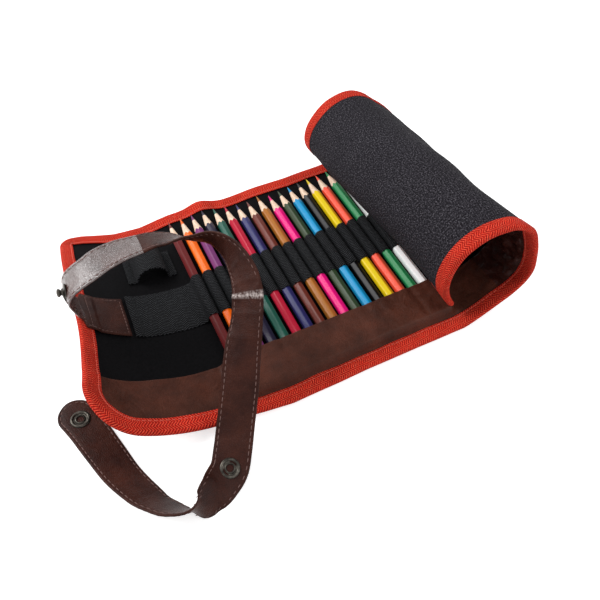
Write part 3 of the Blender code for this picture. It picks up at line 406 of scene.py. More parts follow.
def corner_half(distance, radius, inset):
    """Half width lost to a round corner at a distance from the wrap's end."""
    reach = np.clip(distance - inset, 0, radius - inset)
    r = radius - inset
    return r - np.sqrt(np.maximum(r * r - (r - reach) ** 2, 0))


def outline(us, inset):
    """Near and far edge of the wrap at places us, drawn in by inset."""
    near, far = (corner_half(us, radius, inset) + corner_half(END_U - us, CORNER_END, inset)
                 for radius in (CORNER_NEAR_LEFT, CORNER_FAR_LEFT))
    half = HALF_WIDTH - inset
    return near - half, half - far


def between(us, near, far, shares):
    """Grids of u and v: rows at us, and columns at shares of the way from near to far."""
    return (np.repeat(us[:, None], len(shares), 1),
            near[:, None] + (far - near)[:, None] * shares[None, :])


# Materials

def new_tree(name):
    """A new material with its node tree and its shader.

    The helpers below work in the tree of the socket or node that they are given.
    """
    material = bpy.data.materials.new(name)
    material.use_nodes = True
    return material, material.node_tree, material.node_tree.nodes["Principled BSDF"]


def is_socket(value):
    return isinstance(value, bpy.types.NodeSocket)


def feed(socket, value):
    """Links a socket to another one, or gives it a value."""
    if is_socket(value):
        socket.id_data.links.new(value, socket)
    else:
        socket.default_value = value


def add(tree, kind, inputs=None, **settings):
    node = tree.nodes.new("ShaderNode" + kind)
    for key, value in settings.items():
        setattr(node, key, value)
    for key, value in (inputs or {}).items():
        feed(node.inputs[key], value)
    return node


def maths(operation, a, b=0.0, c=0.0):
    return add(a.id_data, "Math", {0: a, 1: b, 2: c}, operation=operation).outputs[0]


def times(a, b):
    return maths("MULTIPLY", a, b)


def plus(a, b):
    return maths("ADD", a, b)


def flat_mm(tree, turn=0.0):
    """Flat coordinates of the cloth in millimetres: the vector, u and v."""
    uv = add(tree, "UVMap", uv_map="flat").outputs[0]
    scaled = add(tree, "VectorMath", {0: uv, "Scale": 1000.0}, operation="SCALE").outputs[0]
    if turn:
        scaled = add(tree, "VectorRotate", {"Vector": scaled, "Angle": turn}).outputs[0]
    parts = add(tree, "SeparateXYZ", {0: scaled})
    return scaled, parts.outputs[0], parts.outputs[1]


def object_place(tree, scale=None):
    """Coordinates of the object itself, in metres, which may be stretched."""
    place = add(tree, "TexCoord").outputs["Object"]
    if scale is None:
        return place
    return add(tree, "Mapping", {"Vector": place, "Scale": scale}).outputs[0]


def wave(value, period):
    """Sine of a value in millimetres."""
    return maths("SINE", times(value, TAU / period))


def noise_tex(vector, scale, detail=3.0, roughness=0.55, distortion=0.0):
    return add(vector.id_data, "TexNoise",
               {"Vector": vector, "Scale": scale, "Detail": detail, "Roughness": roughness,
                "Distortion": distortion}).outputs[0]


def ramp(value, *stops):
    node = add(value.id_data, "ValToRGB", {0: value})
    points = node.color_ramp.elements
    while len(points) < len(stops):
        points.new(0.5)
    for point, (position, colour) in zip(points, stops):
        point.position = position
        point.color = (*colour, 1.0)
    return node.outputs[0]


def srgb_ramp(value, *stops):
    """Ramp whose stops are a position and the three levels of an sRGB colour."""
    return ramp(value, *((position, srgb(*levels)) for position, *levels in stops))


def shaded_by(base, value, dark, low, high):
    """Base darkened by the colour dark where value is at low, and left alone from high on."""
    return mix_colour(1.0, base, ramp(value, (low, dark), (high, (1, 1, 1))), "MULTIPLY")


def mix_colour(factor, a, b, blend="MIX"):
    tree = next(value for value in (factor, a) if is_socket(value)).id_data
    a, b = (value if is_socket(value) else (*value, 1.0) for value in (a, b))
    return add(tree, "Mix", {0: factor, 6: a, 7: b}, data_type="RGBA",
               blend_type=blend).outputs[2]


def spread_to(value, low, high, to_low, to_high):
    return add(value.id_data, "MapRange",
               {0: value, 1: low, 2: high, 3: to_low, 4: to_high}).outputs[0]


def set_shader(shader, *bumps, **values):
    """Feeds the shader's sockets; the names have underscores for spaces.

    Each bump is a height, a distance in metres and a strength, and they are chained.
    """
    for key, value in values.items():
        feed(shader.inputs[key.replace("_", " ")], value)
    chain = {}
    for height, distance, strength in bumps:
        inputs = {"Height": height, "Distance": distance, "Strength": strength, **chain}
        chain = {"Normal": add(shader.id_data, "Bump", inputs).outputs[0]}
    if chain:
        feed(shader.inputs["Normal"], chain["Normal"])


def srgb(red, green, blue):
    return tuple((c / 255 / 12.92) if c / 255 <= 0.04045 else ((c / 255 + 0.055) / 1.055) ** 2.4
                 for c in (red, green, blue))


def scaled_colour(colour, factor):
    return tuple(min(c * factor, 1.0) for c in colour)


def canvas_material():
    """Dark woven canvas with pale flecks where the threads cross."""
    material, tree, shader = new_tree("canvas_weave")
    vector, u, v = flat_mm(tree, math.radians(2))
    weave = times(wave(u, 1.5), wave(v, 1.3))
    height = plus(times(weave, 0.5), noise_tex(vector, 0.9, 4.0, 0.7))
    flecks = noise_tex(vector, 0.85, 2.0, 0.8)
    base = srgb_ramp(plus(flecks, times(weave, 0.11)), (0.34, 18, 17, 19), (0.5, 32, 30, 35),
                     (0.58, 56, 54, 60), (0.68, 104, 101, 107))
    base = shaded_by(base, noise_tex(vector, 0.03, 3.0), (0.8, 0.79, 0.8), 0.3, 0.7)
    set_shader(shader, (height, 0.3 * MM, 0.8), Base_Color=base, Roughness=0.88,
               Specular_IOR_Level=0.08)
    return material


def lining_material():
    """Thin near-black lining with a fine twill and soft folds."""
    material, tree, shader = new_tree("lining_twill")
    vector, u, v = flat_mm(tree)
    base = srgb_ramp(noise_tex(vector, 0.5, 4.0), (0.3, 8, 8, 9), (0.7, 17, 16, 18))
    folds = noise_tex(vector, 0.035, 4.0, 0.5, 0.6)
    set_shader(shader, (folds, 2.5 * MM, 0.35), (wave(plus(u, v), 1.1), 0.08 * MM, 0.5),
               Base_Color=base, Roughness=0.72, Specular_IOR_Level=0.05)
    return material


def tape_material():
    """Red binding tape with a chevron weave, darker where it is worn."""
    material, tree, shader = new_tree("tape_chevron")
    vector, u, v = flat_mm(tree)
    threads = wave(plus(u, times(maths("PINGPONG", v, 2.9), 0.8)), 1.75)
    fine = noise_tex(vector, 1.3, 3.0, 0.7)
    base = srgb_ramp(plus(times(threads, 0.19), fine), (0.2, 116, 14, 12), (0.4, 188, 31, 21),
                     (0.6, 236, 54, 33), (0.8, 255, 120, 90))
    base = shaded_by(base, noise_tex(vector, 0.07, 4.0, 0.6), (0.78, 0.72, 0.72), 0.3, 0.6)
    set_shader(shader, (threads, 0.3 * MM, 0.9), (fine, 0.25 * MM, 0.5), Base_Color=base,
               Roughness=0.8, Specular_IOR_Level=0.12)
    return material


def leather_material(name, dark, light, rough_at, gloss, pebble=1.0, crease=1.0, highlight_at=None):
    """Coated leather cloth: pebbled grain, soft creases and a thin gloss coat.

    dark and light are levels of sRGB colours. The last argument, if given, is the distance
    along the strap, in millimetres, of a crease whose highlight is painted pale into the colour.
    """
    material, tree, shader = new_tree(name)
    dark, light = srgb(*dark), srgb(*light)
    vector, u, _ = flat_mm(tree)
    swirl = add(tree, "TexNoise", {"Vector": vector, "Scale": 0.6}).outputs[1]
    bent = add(tree, "VectorMath", {0: vector, 1: swirl}, operation="ADD").outputs[0]
    cells = add(tree, "TexVoronoi", {"Vector": bent, "Scale": 0.85 * pebble, "Randomness": 1.0},
                feature="DISTANCE_TO_EDGE").outputs[0]
    grain = spread_to(cells, 0.0, 0.35, 0.0, 1.0)
    fine = noise_tex(vector, 1.9, 3.0, 0.6)
    soft = noise_tex(vector, 0.09, 4.0, 0.5, 1.2)
    tone = ramp(noise_tex(vector, 0.05, 4.0, 0.6), (0.3, dark), (0.7, light))
    # The grain's furrows are darkened.
    furrows_and_painted_highlight = mix_colour(spread_to(grain, 0.0, 0.4, 0.45, 0.0), tone, scaled_colour(dark, 0.45))
    # Painted highlight: a pale, patchy band across the strap at that distance, where a crease
    # catches the light.
    if highlight_at is not None:
        past = maths("ABSOLUTE", maths("SUBTRACT", u, highlight_at))
        patchy = spread_to(noise_tex(vector, 0.5, 4.0), 0.36, 0.6, 0.0, 1.0)
        painted_highlight = times(spread_to(past, 0.4, 2.6, 1.0, 0.0), patchy)
        furrows_and_painted_highlight = mix_colour(painted_highlight, furrows_and_painted_highlight, srgb(196, 184, 180))
    rub = spread_to(fine, 0.3, 0.75, rough_at - 0.07, rough_at + 0.12)
    set_shader(shader, (soft, 3.0 * MM * crease, 0.3), (grain, 0.2 * MM, 0.8),
               (fine, 0.14 * MM, 0.5), Base_Color=furrows_and_painted_highlight, Roughness=rub,
               Specular_IOR_Level=gloss, Coat_Weight=gloss * 0.5, Coat_Roughness=0.22)
    return material


def elastic_material():
    """Black braided elastic: ribs along the band with a braid across them."""
    material, tree, shader = new_tree("elastic_braid")
    vector, u, v = flat_mm(tree)
    ribs = wave(plus(v, times(maths("PINGPONG", u, 4.6), 0.55)), 1.6)
    height = plus(ribs, times(wave(u, 0.95), 0.35))
    fuzz = noise_tex(vector, 1.6, 3.0, 0.7)
    base = srgb_ramp(plus(times(ribs, 0.2), fuzz), (0.3, 5, 5, 6), (0.56, 19, 19, 21),
                     (0.84, 78, 80, 83))
    set_shader(shader, (height, 0.25 * MM, 0.8), (fuzz, 0.12 * MM, 0.4), Base_Color=base,
               Roughness=0.82, Specular_IOR_Level=0.1)
    return material


def thread_material(name, *levels):
    """Sewing thread of an sRGB colour, with a fine twist."""
    material, tree, shader = new_tree(name)
    colour = srgb(*levels)
    twist = noise_tex(object_place(tree), 2500.0, 2.0)
    set_shader(shader, (twist, 0.1 * MM, 0.5), Roughness=0.7,
               Base_Color=ramp(twist, (0.3, scaled_colour(colour, 0.7)), (0.7, colour)))
    return material


def metal_material():
    """Dark plated metal, brushed by wear."""
    material, tree, shader = new_tree("gunmetal_plate")
    wear = noise_tex(object_place(tree), 420.0, 4.0, 0.65)
    base = srgb_ramp(wear, (0.3, 34, 32, 29), (0.6, 78, 74, 68), (0.8, 128, 122, 112))
    set_shader(shader, (wear, 0.08 * MM, 0.3), Base_Color=base, Metallic=0.9,
               Roughness=spread_to(wear, 0.3, 0.7, 0.45, 0.28))
    return material


def paint_material(name, colour):
    """Lacquered pencil paint over wood, with faint streaks along the pencil."""
    material, tree, shader = new_tree(f"paint_{name}")
    streak = noise_tex(object_place(tree, (900.0, 60.0, 900.0)), 1.0, 3.0)
    base = mix_colour(spread_to(streak, 0.35, 0.7, 0.0, 0.5), colour,
                      scaled_colour(colour, 0.78))
    set_shader(shader, (streak, 0.05 * MM, 0.3), Base_Color=base, Specular_IOR_Level=0.12,
               Coat_Weight=0.1, Coat_Roughness=0.12,
               Roughness=spread_to(streak, 0.3, 0.7, 0.3, 0.42))
    return material


def wood_material():
    material, tree, shader = new_tree("cedar_wood")
    grain = noise_tex(object_place(tree, (1300.0, 110.0, 1300.0)), 1.0, 5.0, 0.65)
    base = srgb_ramp(grain, (0.3, 206, 168, 140), (0.55, 234, 208, 184), (0.75, 246, 228, 208))
    set_shader(shader, (grain, 0.1 * MM, 0.4), Base_Color=base, Roughness=0.65)
    return material


def lead_material(name, colour):
    """Coloured lead; the near-black painted shade inside a snap's socket is of it too."""
    material, tree, shader = new_tree(f"lead_{name}")
    grit = noise_tex(object_place(tree), 3000.0, 3.0)
    set_shader(shader, (grit, 0.05 * MM, 0.4), Roughness=0.5,
               Base_Color=mix_colour(grit, colour, scaled_colour(colour, 0.7)))
    return material


CANVAS = canvas_material()
LINING = lining_material()
TAPE = tape_material()
TAPE_THREAD = thread_material("tape_thread", 232, 96, 78)
# The strap leather has a painted highlight across its crease, 178 mm along the strap.
STRAP_LEATHER = leather_material("strap_leather", (40, 18, 14), (72, 38, 29), rough_at=0.38,
                                 gloss=0.08, highlight_at=178.0)
# The arch's copy of the strap leather is glossier and lighter in colour: painted light on the lit
# arch.
LIT_ARCH_LEATHER = leather_material("lit_arch_leather", (48, 24, 20), (78, 44, 37), rough_at=0.2,
                                gloss=1.0, pebble=1.25)
POCKET_LEATHER = leather_material("pocket_leather", (60, 32, 23), (92, 50, 37), rough_at=0.42,
                                  gloss=0.1, pebble=1.2, crease=1.6)
# The pocket band inside the roll: the same leather, glossier, with a darker colour as painted
# shade.
SHADED_INNER_LEATHER = leather_material("shaded_inner_leather", (46, 20, 16), (66, 31, 24), rough_at=0.36,
                                 gloss=0.22, pebble=0.6, crease=1.8)
LEATHER_THREAD = thread_material("leather_thread", 112, 82, 76)
ELASTIC = elastic_material()
METAL = metal_material()
PAINTED_SHADE = lead_material("painted_shade_hollow", srgb(14, 13, 12))
WOOD = wood_material()


# The wrap's layers, one piece for each stretch between two roll hinges

ZONE_U = [0.0, 264 * MM] + [ROLL_U + SEGMENT * (k + 0.5) for k in range(6)] + [END_U]
ZONES = range(len(ZONE_U) - 1)
LAST_ZONE = ZONES[-1]
BODIES = ["wrap"] + [f"roll_{k}" for k in range(1, 7)]
# Distance between the rows of a zone
STRETCH = 2.4 * MM


def attach(obj, zone, node, slot, **flat_sheet):
    """Puts a piece of an end zone on that zone's body; a piece of another zone stays where it lies.
    """
    if zone in (0, LAST_ZONE):
        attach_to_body(obj, BODIES[0 if zone == 0 else -1])
    else:
        start, end = (lay_one(u, 0.0, 1 * MM) for u in ZONE_U[zone:zone + 2])
        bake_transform(obj)
    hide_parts(node)


def zone_steps(zone, inset, size=STRETCH):
    """Places along a zone, closer together in the corners."""
    low, high = ZONE_U[zone], ZONE_U[zone + 1]
    if zone == 0:
        fine = inset + CORNER_NEAR_LEFT * (1 - np.cos(np.linspace(0, math.pi / 2, 12)))
        return np.concatenate([fine, steps(fine[-1], high, size)[1:]])
    if zone == LAST_ZONE:
        fine = high - inset - CORNER_END * (1 - np.cos(np.linspace(0, math.pi / 2, 9)))[::-1]
        return np.concatenate([steps(low, fine[0], size)[:-1], fine])
    return steps(low, high, size)


def zone_name(base, zone):
    return base if zone == 0 else f"{base}_{zone}"


def zone_node(node, base, zone):
    """Name of the solid that a piece stands for; the last two zones share one."""
    return node if zone == 0 else f"{base}_{min(zone, len(BODIES) - 1)}"


def roll_lift(u, v):
    """Soft unevenness of the cloth in the roll, none where it lies flat or under the tape."""
    inside = 1 - smooth(np.abs(v), HALF_WIDTH - 24 * MM, HALF_WIDTH - 12 * MM)
    return rough(u, v, 34 * MM, 3.0) * 0.7 * MM * plateau(u, 290, 330, 483, 494) * inside


def make_cloth(name, node, base, slot, inset, low, high, material, lift):
    """A layer of cloth of the wrap between the heights low and high, raised by lift(u, v)."""
    corners_share = 0.985
    width = 2 * (HALF_WIDTH - inset)
    vs = steps(-HALF_WIDTH + inset, HALF_WIDTH - inset, 3.0 * MM)
    for zone in ZONES:
        us = zone_steps(zone, inset)
        length = us[-1] - us[0]
        u, v = between(us, *outline(us, inset), (vs - vs[0]) / (vs[-1] - vs[0]))
        lifted = lift(u, v)
        obj = sheet_object(zone_name(name, zone), lay_grid(u, v, high + lifted),
                           lay_grid(u, v, low + lifted), np.stack([u, v], -1), material)
        attach(obj, zone, zone_node(node, base, zone), slot, flat=(width, length),
               area=width * length * corners_share if zone in (0, LAST_ZONE) else None)


def lining_lift(u, v):
    """The roll's unevenness, and wrinkles where the left end lifts."""
    wrinkle = rough(u, v, 26 * MM, 7.0) * 0.35 * MM
    left = smooth(-u, -95 * MM, -80 * MM) * smooth(u, 14 * MM, 30 * MM)
    return np.maximum(wrinkle, -0.1 * MM) * left + roll_lift(u, v)


# Cross section of the tape: inset from the edge in millimetres, share of the height, and how
# far it stands proud in millimetres. It bends round the edge between the two shares TAPE_BEND.
TAPE_SECTION = (
    (11.0, 0.0, 0.0), (9.6, 0.0, -0.02), (8.0, 0.0, 0.1), (5.0, 0.0, 0.12), (2.4, 0.0, 0.1),
    (0.9, 0.1, 0.1), (0.1, 0.3, 0.12), (-0.15, 0.55, 0.1), (0.15, 0.8, 0.15), (0.9, 0.97, 0.22),
    (2.4, 1.0, 0.32), (5.0, 1.0, 0.38), (7.4, 1.0, 0.3), (8.7, 1.0, 0.08), (9.3, 1.0, -0.06),
    (9.9, 1.0, 0.04), (10.6, 1.0, 0.1), (11.0, 1.0, 0.0))
TAPE_BEND = (0.05, 0.95)
TAPE_STITCH = 3.5 * MM


def tape_path(zone):
    """Stations of the tape: u, v and the outward direction, evenly spaced, near side first."""
    size = 1.75 * MM
    low, high = ZONE_U[zone], ZONE_U[zone + 1]

    def side(start, end, which):
        return [(u, which * HALF_WIDTH, 0, which) for u in
                steps(start, end, math.copysign(size, end - start))]

    if 0 < zone < LAST_ZONE:
        return [side(low, high, -1), side(low, high, 1)]
    if zone == 0:
        out, end_u, begin, near, far = -1, 0.0, high, CORNER_NEAR_LEFT, CORNER_FAR_LEFT
    else:
        out, end_u, begin, near, far = 1, END_U, low, CORNER_END, CORNER_END

    def corner(which, radius, from_angle, to_angle):
        centre_u, centre_v = end_u - out * radius, which * (HALF_WIDTH - radius)
        count = max(int(round(radius * (to_angle - from_angle) / size)), 3)
        return [(centre_u + radius * out * math.cos(a), centre_v + radius * math.sin(a),
                 out * math.cos(a), math.sin(a))
                for a in np.linspace(from_angle, to_angle, count + 1)[1:]]
    across = [(end_u, v, out, 0) for v in steps(-HALF_WIDTH + near, HALF_WIDTH - far, size)[1:]]
    return [side(begin, end_u - out * near, -1) + corner(-1, near, -math.pi / 2, 0) + across
            + corner(1, far, 0, math.pi / 2) + side(end_u - out * far, begin, 1)[1:]]


def tape_top(v):
    """Height of the tape above the outer face, more where it goes over the pocket band."""
    over = smooth(-v, -POCKET_MOUTH - 5 * MM, -POCKET_MOUTH + 1 * MM)
    return TAPE_TOP + (TAPE_OVER_POCKET - TAPE_TOP) * over


def tape_object(name, path):
    """Folded tape: its cross section goes from the inner edge below round to the one above."""
    u, v, out_u, out_v = np.array(path, float).T
    travel = np.concatenate([[0], np.cumsum(np.hypot(np.diff(u), np.diff(v)))])
    top = tape_top(v)
    pucker = np.sin(TAU * travel / TAPE_STITCH)
    wander = rough(travel, np.zeros_like(travel), 21 * MM, 11.0)
    outer, inner, flat = [], [], []
    around = 0.0
    previous = None
    for inset, share, proud in TAPE_SECTION:
        inset = inset * MM
        if previous is not None:
            around += max(abs(inset - previous[0]), abs(share - previous[1]) * TAPE_TOP)
        previous = (inset, share)
        above = share > 0.5
        face = 0 if TAPE_BEND[0] < share < TAPE_BEND[1] else 1 if above else -1
        ruffle = pucker * 0.09 * MM * (1 if 6.5 * MM < inset < 9.5 * MM else 0.25)
        edge = wander * (0.35 * MM * np.clip((inset - 6 * MM) / (5 * MM), 0, 1) + 0.1 * MM)
        height = top * share + face * (proud * MM + ruffle * above)
        if share < TAPE_BEND[0]:
            rolled = 0.4 * MM * smooth(u, 280 * MM, 305 * MM)
            height = np.maximum(height + 0.25 * MM, 0.02 * MM) - rolled
        reach = inset + edge * above
        outer.append(lay(u - out_u * reach, v - out_v * reach, height))
        if not face:
            reach = reach + TAPE_THICK * (2 - abs(2 * share - 1))
        inner.append(lay(u - out_u * reach, v - out_v * reach, height - face * TAPE_THICK))
        flat.append(np.stack([travel, np.full_like(travel, around)], -1))
    outer, inner, flat = (np.stack(a, 1) for a in (outer, inner, flat))
    stitches = tape_stitches(u, v, out_u, out_v, travel)
    obj = sheet_object(name, outer, inner, flat, TAPE, sharp=60.0, extra=[stitches])
    obj.data.materials.append(TAPE_THREAD)
    return obj


def tape_stitches(u, v, out_u, out_v, travel):
    """The sewing across the tape's inner edge, along stations of its path."""
    inset, first, last = 9.3 * MM, 0.9 * MM, 1.2 * MM
    at = np.arange(first, travel[-1] - last, TAPE_STITCH)
    u, v, out_u, out_v = (np.interp(at, travel, values) for values in (u, v, out_u, out_v))
    height = tape_top(v) + 0.12 * MM
    u, v = u - out_u * inset, v - out_v * inset
    frame_at = lay_rows(u, v, height, -out_v, out_u, 0.5 * MM)
    return stitch_arrays(*frame_at, 2.7 * MM, 0.3 * MM, np.stack([u, v], -1))


def make_tape():
    """The binding: one piece round each end, and a near and a far one for each other zone."""
    for zone in ZONES:
        if zone in (0, LAST_ZONE):
            names = [("edge_tape", "edge_binding") if zone == 0 else
                     ("edge_tape_end", "roll_binding_end_6")]
        else:
            names = [(f"edge_tape_{side}_{zone}", f"roll_binding_{side}_{min(zone, 5)}")
                     for side in ("near", "far")]
        for (name, node), path in zip(names, tape_path(zone)):
            attach(tape_object(name, path), zone, node, "red_tape")


# Pocket band

def pocket_height(u, v):
    """Height of the band's underside above the outer face."""
    x = u - FLAT_SHIFT
    full = 10.9 * MM
    outside = np.maximum(np.abs(x) + FIRST_X - 4.4 * MM, 0)
    over = 1 - smooth(outside, 0.0, 10 * MM)
    ripple = np.cos(TAU * (x - FIRST_X) / PITCH)
    full = full + (ripple - 1) * 0.14 * MM * smooth(v, -74 * MM, -60 * MM) + 0.1 * MM
    depth = smooth(-v, -POCKET_BUTT + 0.3 * MM, -POCKET_BUTT + 5.8 * MM)
    lift = over * (full - POCKET_LOW) * (1 - depth)
    mouth = smooth(v, -84 * MM, POCKET_MOUTH)
    gape = (plateau(u, 22, 50, 84, 100) * mouth ** 1.5 * 3.4
            + plateau(u, 262, 275, 300, 330) * mouth * 2.2)
    lift += gape * MM * (1 - over)
    for seam in SEAM_X:
        lift -= dent(x - seam, 2.0 * MM) * 0.55 * MM * over * (1 - depth)
    slack = rough(u, v, 15 * MM, 21.0) * 0.4 * MM + rough(u, v, 5 * MM, 5.0) * 0.12 * MM
    inside = smooth(u, 285 * MM, 310 * MM)
    wrinkles = np.abs(rough(u * 1.6, v, 13 * MM, 31.0)) * 3.0 * MM * inside
    loose = 1 - smooth(-v, 85 * MM, 92 * MM)
    return POCKET_LOW + lift + (np.maximum(slack + 0.3 * MM, 0) + wrinkles) * loose


def make_pocket():
    """Pocket band from the near edge up to its mouth, with a thicker hem there."""
    inset = 1.8 * MM
    rows = np.concatenate([np.linspace(0, 0.93, 26), [0.95, 0.97, 0.985, 1.0]])
    hem = smooth(rows, 0.955, 0.97) * 0.35 * MM
    thick = 0.55 * MM + hem - 0.25 * MM * (rows > 0.99)
    for zone in ZONES:
        us = zone_steps(zone, inset, 1.2 * MM if zone == 0 else 2.0 * MM)
        u, v = between(us, outline(us, inset)[0], POCKET_MOUTH, rows)
        low = pocket_height(u.ravel(), v.ravel()).reshape(u.shape)
        # From the third zone on, inside the roll, the band takes the darker copy of its leather:
        # painted shade.
        obj = sheet_object(zone_name("pocket_band_skin", zone), lay_grid(u, v, low + thick),
                           lay_grid(u, v, low), np.stack([u, v], -1),
                           POCKET_LEATHER if zone < 2 else SHADED_INNER_LEATHER)
        attach(obj, zone, zone_node("pocket_band", "roll_lining", zone),
               "brown_leather" if zone == 0 else "black_lining",
               flat=(POCKET_DEPTH, us[-1] - us[0]))


# Elastic band

def hug(x):
    """Height of the elastic's outer face: an arch over each pencil, stitched down between."""
    top, valley = 11.55 * MM, 4.6 * MM
    nearest = np.clip(np.round((x - FIRST_X) / PITCH), 0, PENCIL_COUNT - 1)
    off = np.abs(x - FIRST_X - nearest * PITCH) / (PITCH / 2)
    arch = top - (top - valley) * np.minimum(off, 1) ** 3.6
    beyond = (off - 1) * PITCH / 2
    low = ELASTIC_TOP + (valley - ELASTIC_TOP) * np.exp(-beyond / (1.2 * MM))
    return np.where(off > 1, low, arch)


def band_steps(near, far, size):
    """Places across a band, with one close to each edge."""
    return np.concatenate([[near, near + 0.5 * MM], steps(near + 2 * MM, far - 2 * MM, size),
                           [far - 0.5 * MM, far]])


def make_elastic():
    """Elastic over the pencils: its left end is folded over, and its UVs follow its length."""
    start, fine, loops_end, fold_end = 42.0 * MM, 96 * MM, 265 * MM, 48 * MM
    thick, end_gap, flat_row = 0.75 * MM, 12.5 * MM, 5
    vs = band_steps(ELASTIC_NEAR, ELASTIC_FAR, 3 * MM)
    for zone in ZONES:
        low, high = ZONE_U[zone], ZONE_U[zone + 1] if zone < LAST_ZONE else END_U - end_gap
        us = steps(low, high, 2.0 * MM)
        if zone == 0:
            us = np.concatenate([steps(start, fine, 1.6 * MM)[:-1], steps(fine, high, 0.6 * MM)])
        u, v = np.meshgrid(us, vs, indexing="ij")
        over = (u > CURL_U + 2 * MM) & (u < loops_end)
        top = np.where(over, hug(u - FLAT_SHIFT), ELASTIC_TOP)
        edge = np.minimum(v - vs[0], vs[-1] - v)
        top = top - 0.3 * MM * (1 - smooth(edge, 0.0, 0.9 * MM))
        top = top + 0.6 * MM * (1 - smooth(u, fold_end - 0.5 * MM, fold_end + 0.5 * MM))
        top = top + rough(u, v, 6 * MM, 41.0) * 0.12 * MM * over
        swayed = v + rough(u, v * 0, 7 * MM, 43.0) * 0.35 * MM
        line = top[:, flat_row]
        stretched = np.cumsum(np.hypot(np.diff(us, prepend=us[0]),
                                       np.diff(line, prepend=line[0])))
        flat = np.stack([np.repeat(stretched[:, None] + us[0], len(vs), 1), v], -1)
        obj = sheet_object(zone_name("elastic_band", zone), lay_grid(u, swayed, top),
                           lay_grid(u, swayed, top - thick), flat, ELASTIC)
        attach(obj, zone, zone_node("pencil_elastic", "roll_lining", zone),
               "black_elastic" if zone == 0 else "black_lining")


def make_sharpener_loop():
    """Webbing arch on two sewn feet, open along the pencils."""
    centre_u, near, far = 70 * MM, 35 * MM, 61 * MM
    half, rise, foot = 12.4 * MM, 12.6 * MM, 8 * MM
    foot_points = [(half + foot, 0.0), (half + foot * 0.5, 0.0), (half + 1.0 * MM, 0.1 * MM)]
    angles = np.radians(np.linspace(176, 4, 19))
    points = ([(-x, y) for x, y in foot_points]
              + [(half * math.cos(a), 0.6 * MM + rise * math.sin(a) ** 0.62) for a in angles]
              + foot_points[::-1])
    line = evenly(catmull(points, 8), 60)
    tangent = unit(np.gradient(line, axis=0))
    normal = np.stack([-tangent[:, 1], tangent[:, 0]], 1)
    vs = band_steps(near, far, 2.5 * MM)
    base = POCKET_LOW + 0.1 * MM
    grids = []
    for thick in (1.35 * MM, 0.0):
        place = line + normal * thick
        u, v = np.meshgrid(centre_u + place[:, 0], vs, indexing="ij")
        w = np.repeat((base + np.maximum(place[:, 1], 0))[:, None], len(vs), 1)
        w = w + np.where(w > base + 5 * MM, rough(u, v, 11 * MM, 51.0) * 0.35 * MM, 0)
        edge = np.minimum(v - near, far - v)
        w = w - (0.25 * MM * (1 - smooth(edge, 0.0, 0.8 * MM)) if thick else 0)
        grids.append(lay_grid(u, v, w))
    flat = np.stack(np.meshgrid(lengths(line), vs, indexing="ij"), -1)
    obj = sheet_object("sharpener_loop_webbing", grids[0], grids[1], flat, ELASTIC)
    attach(obj, 0, "sharpener_loop", "black_elastic")


# Strap

STRAP_WIDTH = 24.0 * MM
STRAP_THICK = 1.7 * MM
STRAP_THICK_PATCH = 1.6 * MM
FOLD_U = 3.5 * MM
PATCH_V = 0.5 * MM
PATCH_LEVEL = 3.9 * MM
STRAP_STITCH = 3.9 * MM
STRAP_SEAM = 2.1 * MM
# Places of the middle line in millimetres and the direction across the strap at each
STRAP_ROUTE = (
    (-161.3, 3.9, 44.0, 0.0, 1.0, -0.15), (-162.7, 4.0, 50.0, 0.0, 1.0, -0.1),
    (-163.4, 4.2, 57.4, 0.0, 1.0, -0.1), (-159.7, 4.8, 63.2, -0.05, 1.0, -0.1),
    (-153.2, 5.5, 66.8, -0.1, 1.0, -0.08), (-145.0, 7.0, 69.0, -0.15, 1.0, -0.08),
    (-136.5, 10.0, 70.0, -0.15, 1.0, -0.08), (-125.0, 12.4, 70.2, -0.1, 1.0, -0.15),
    (-113.0, 12.8, 69.8, -0.05, 1.0, -0.25), (-102.0, 12.2, 70.0, 0.0, 0.95, -0.35),
    (-91.0, 8.6, 70.0, 0.05, 0.87, -0.48), (-81.0, 4.0, 70.0, 0.32, 0.57, -0.76),
    (-71.0, -2.0, 71.0, 0.28, 0.42, -0.87), (-63.8, -12.0, 72.5, 0.04, 0.12, -0.99),
    (-59.8, -25.0, 73.0, -0.33, 0.05, -0.94), (-58.7, -38.0, 71.0, -0.57, 0.2, -0.79),
    (-60.0, -49.0, 67.0, -0.66, 0.28, -0.62), (-63.7, -58.0, 60.0, -0.68, 0.3, -0.57),
    (-69.0, -66.5, 52.5, -0.72, 0.34, -0.5), (-76.0, -76.0, 43.0, -0.82, 0.4, -0.25),
    (-85.0, -91.0, 30.0, -0.9, 0.42, 0.0), (-96.5, -109.0, 15.5, -0.9, 0.4, 0.03),
    (-103.2, -120.0, 10.5, -0.9, 0.42, 0.08), (-109.0, -128.8, 7.1, -0.85, 0.39, 0.22),
    (-116.2, -134.8, 7.6, -0.72, 0.4, 0.5), (-124.7, -141.0, 11.2, -0.5, 0.3, 0.78),
    (-132.4, -145.4, 12.0, -0.42, 0.12, 0.89), (-141.0, -144.0, 12.5, -0.2, -0.35, 0.9),
    (-149.0, -138.5, 12.0, -0.4, -0.45, 0.8), (-155.0, -132.0, 11.0, -0.5, -0.45, 0.75),
    (-159.5, -125.0, 10.0, -0.65, -0.45, 0.65), (-164.8, -114.2, 8.5, -0.7, -0.45, 0.55),
    (-169.9, -101.3, 7.0, -0.8, -0.4, 0.45), (-175.2, -83.3, 5.0, -0.85, -0.4, 0.3),
    (-181.0, -63.3, 4.0, -0.95, -0.25, 0.15), (-186.5, -48.2, 3.6, -0.97, -0.2, 0.05),
    (-189.0, -40.2, 3.5, -0.97, -0.2, 0.0),
)


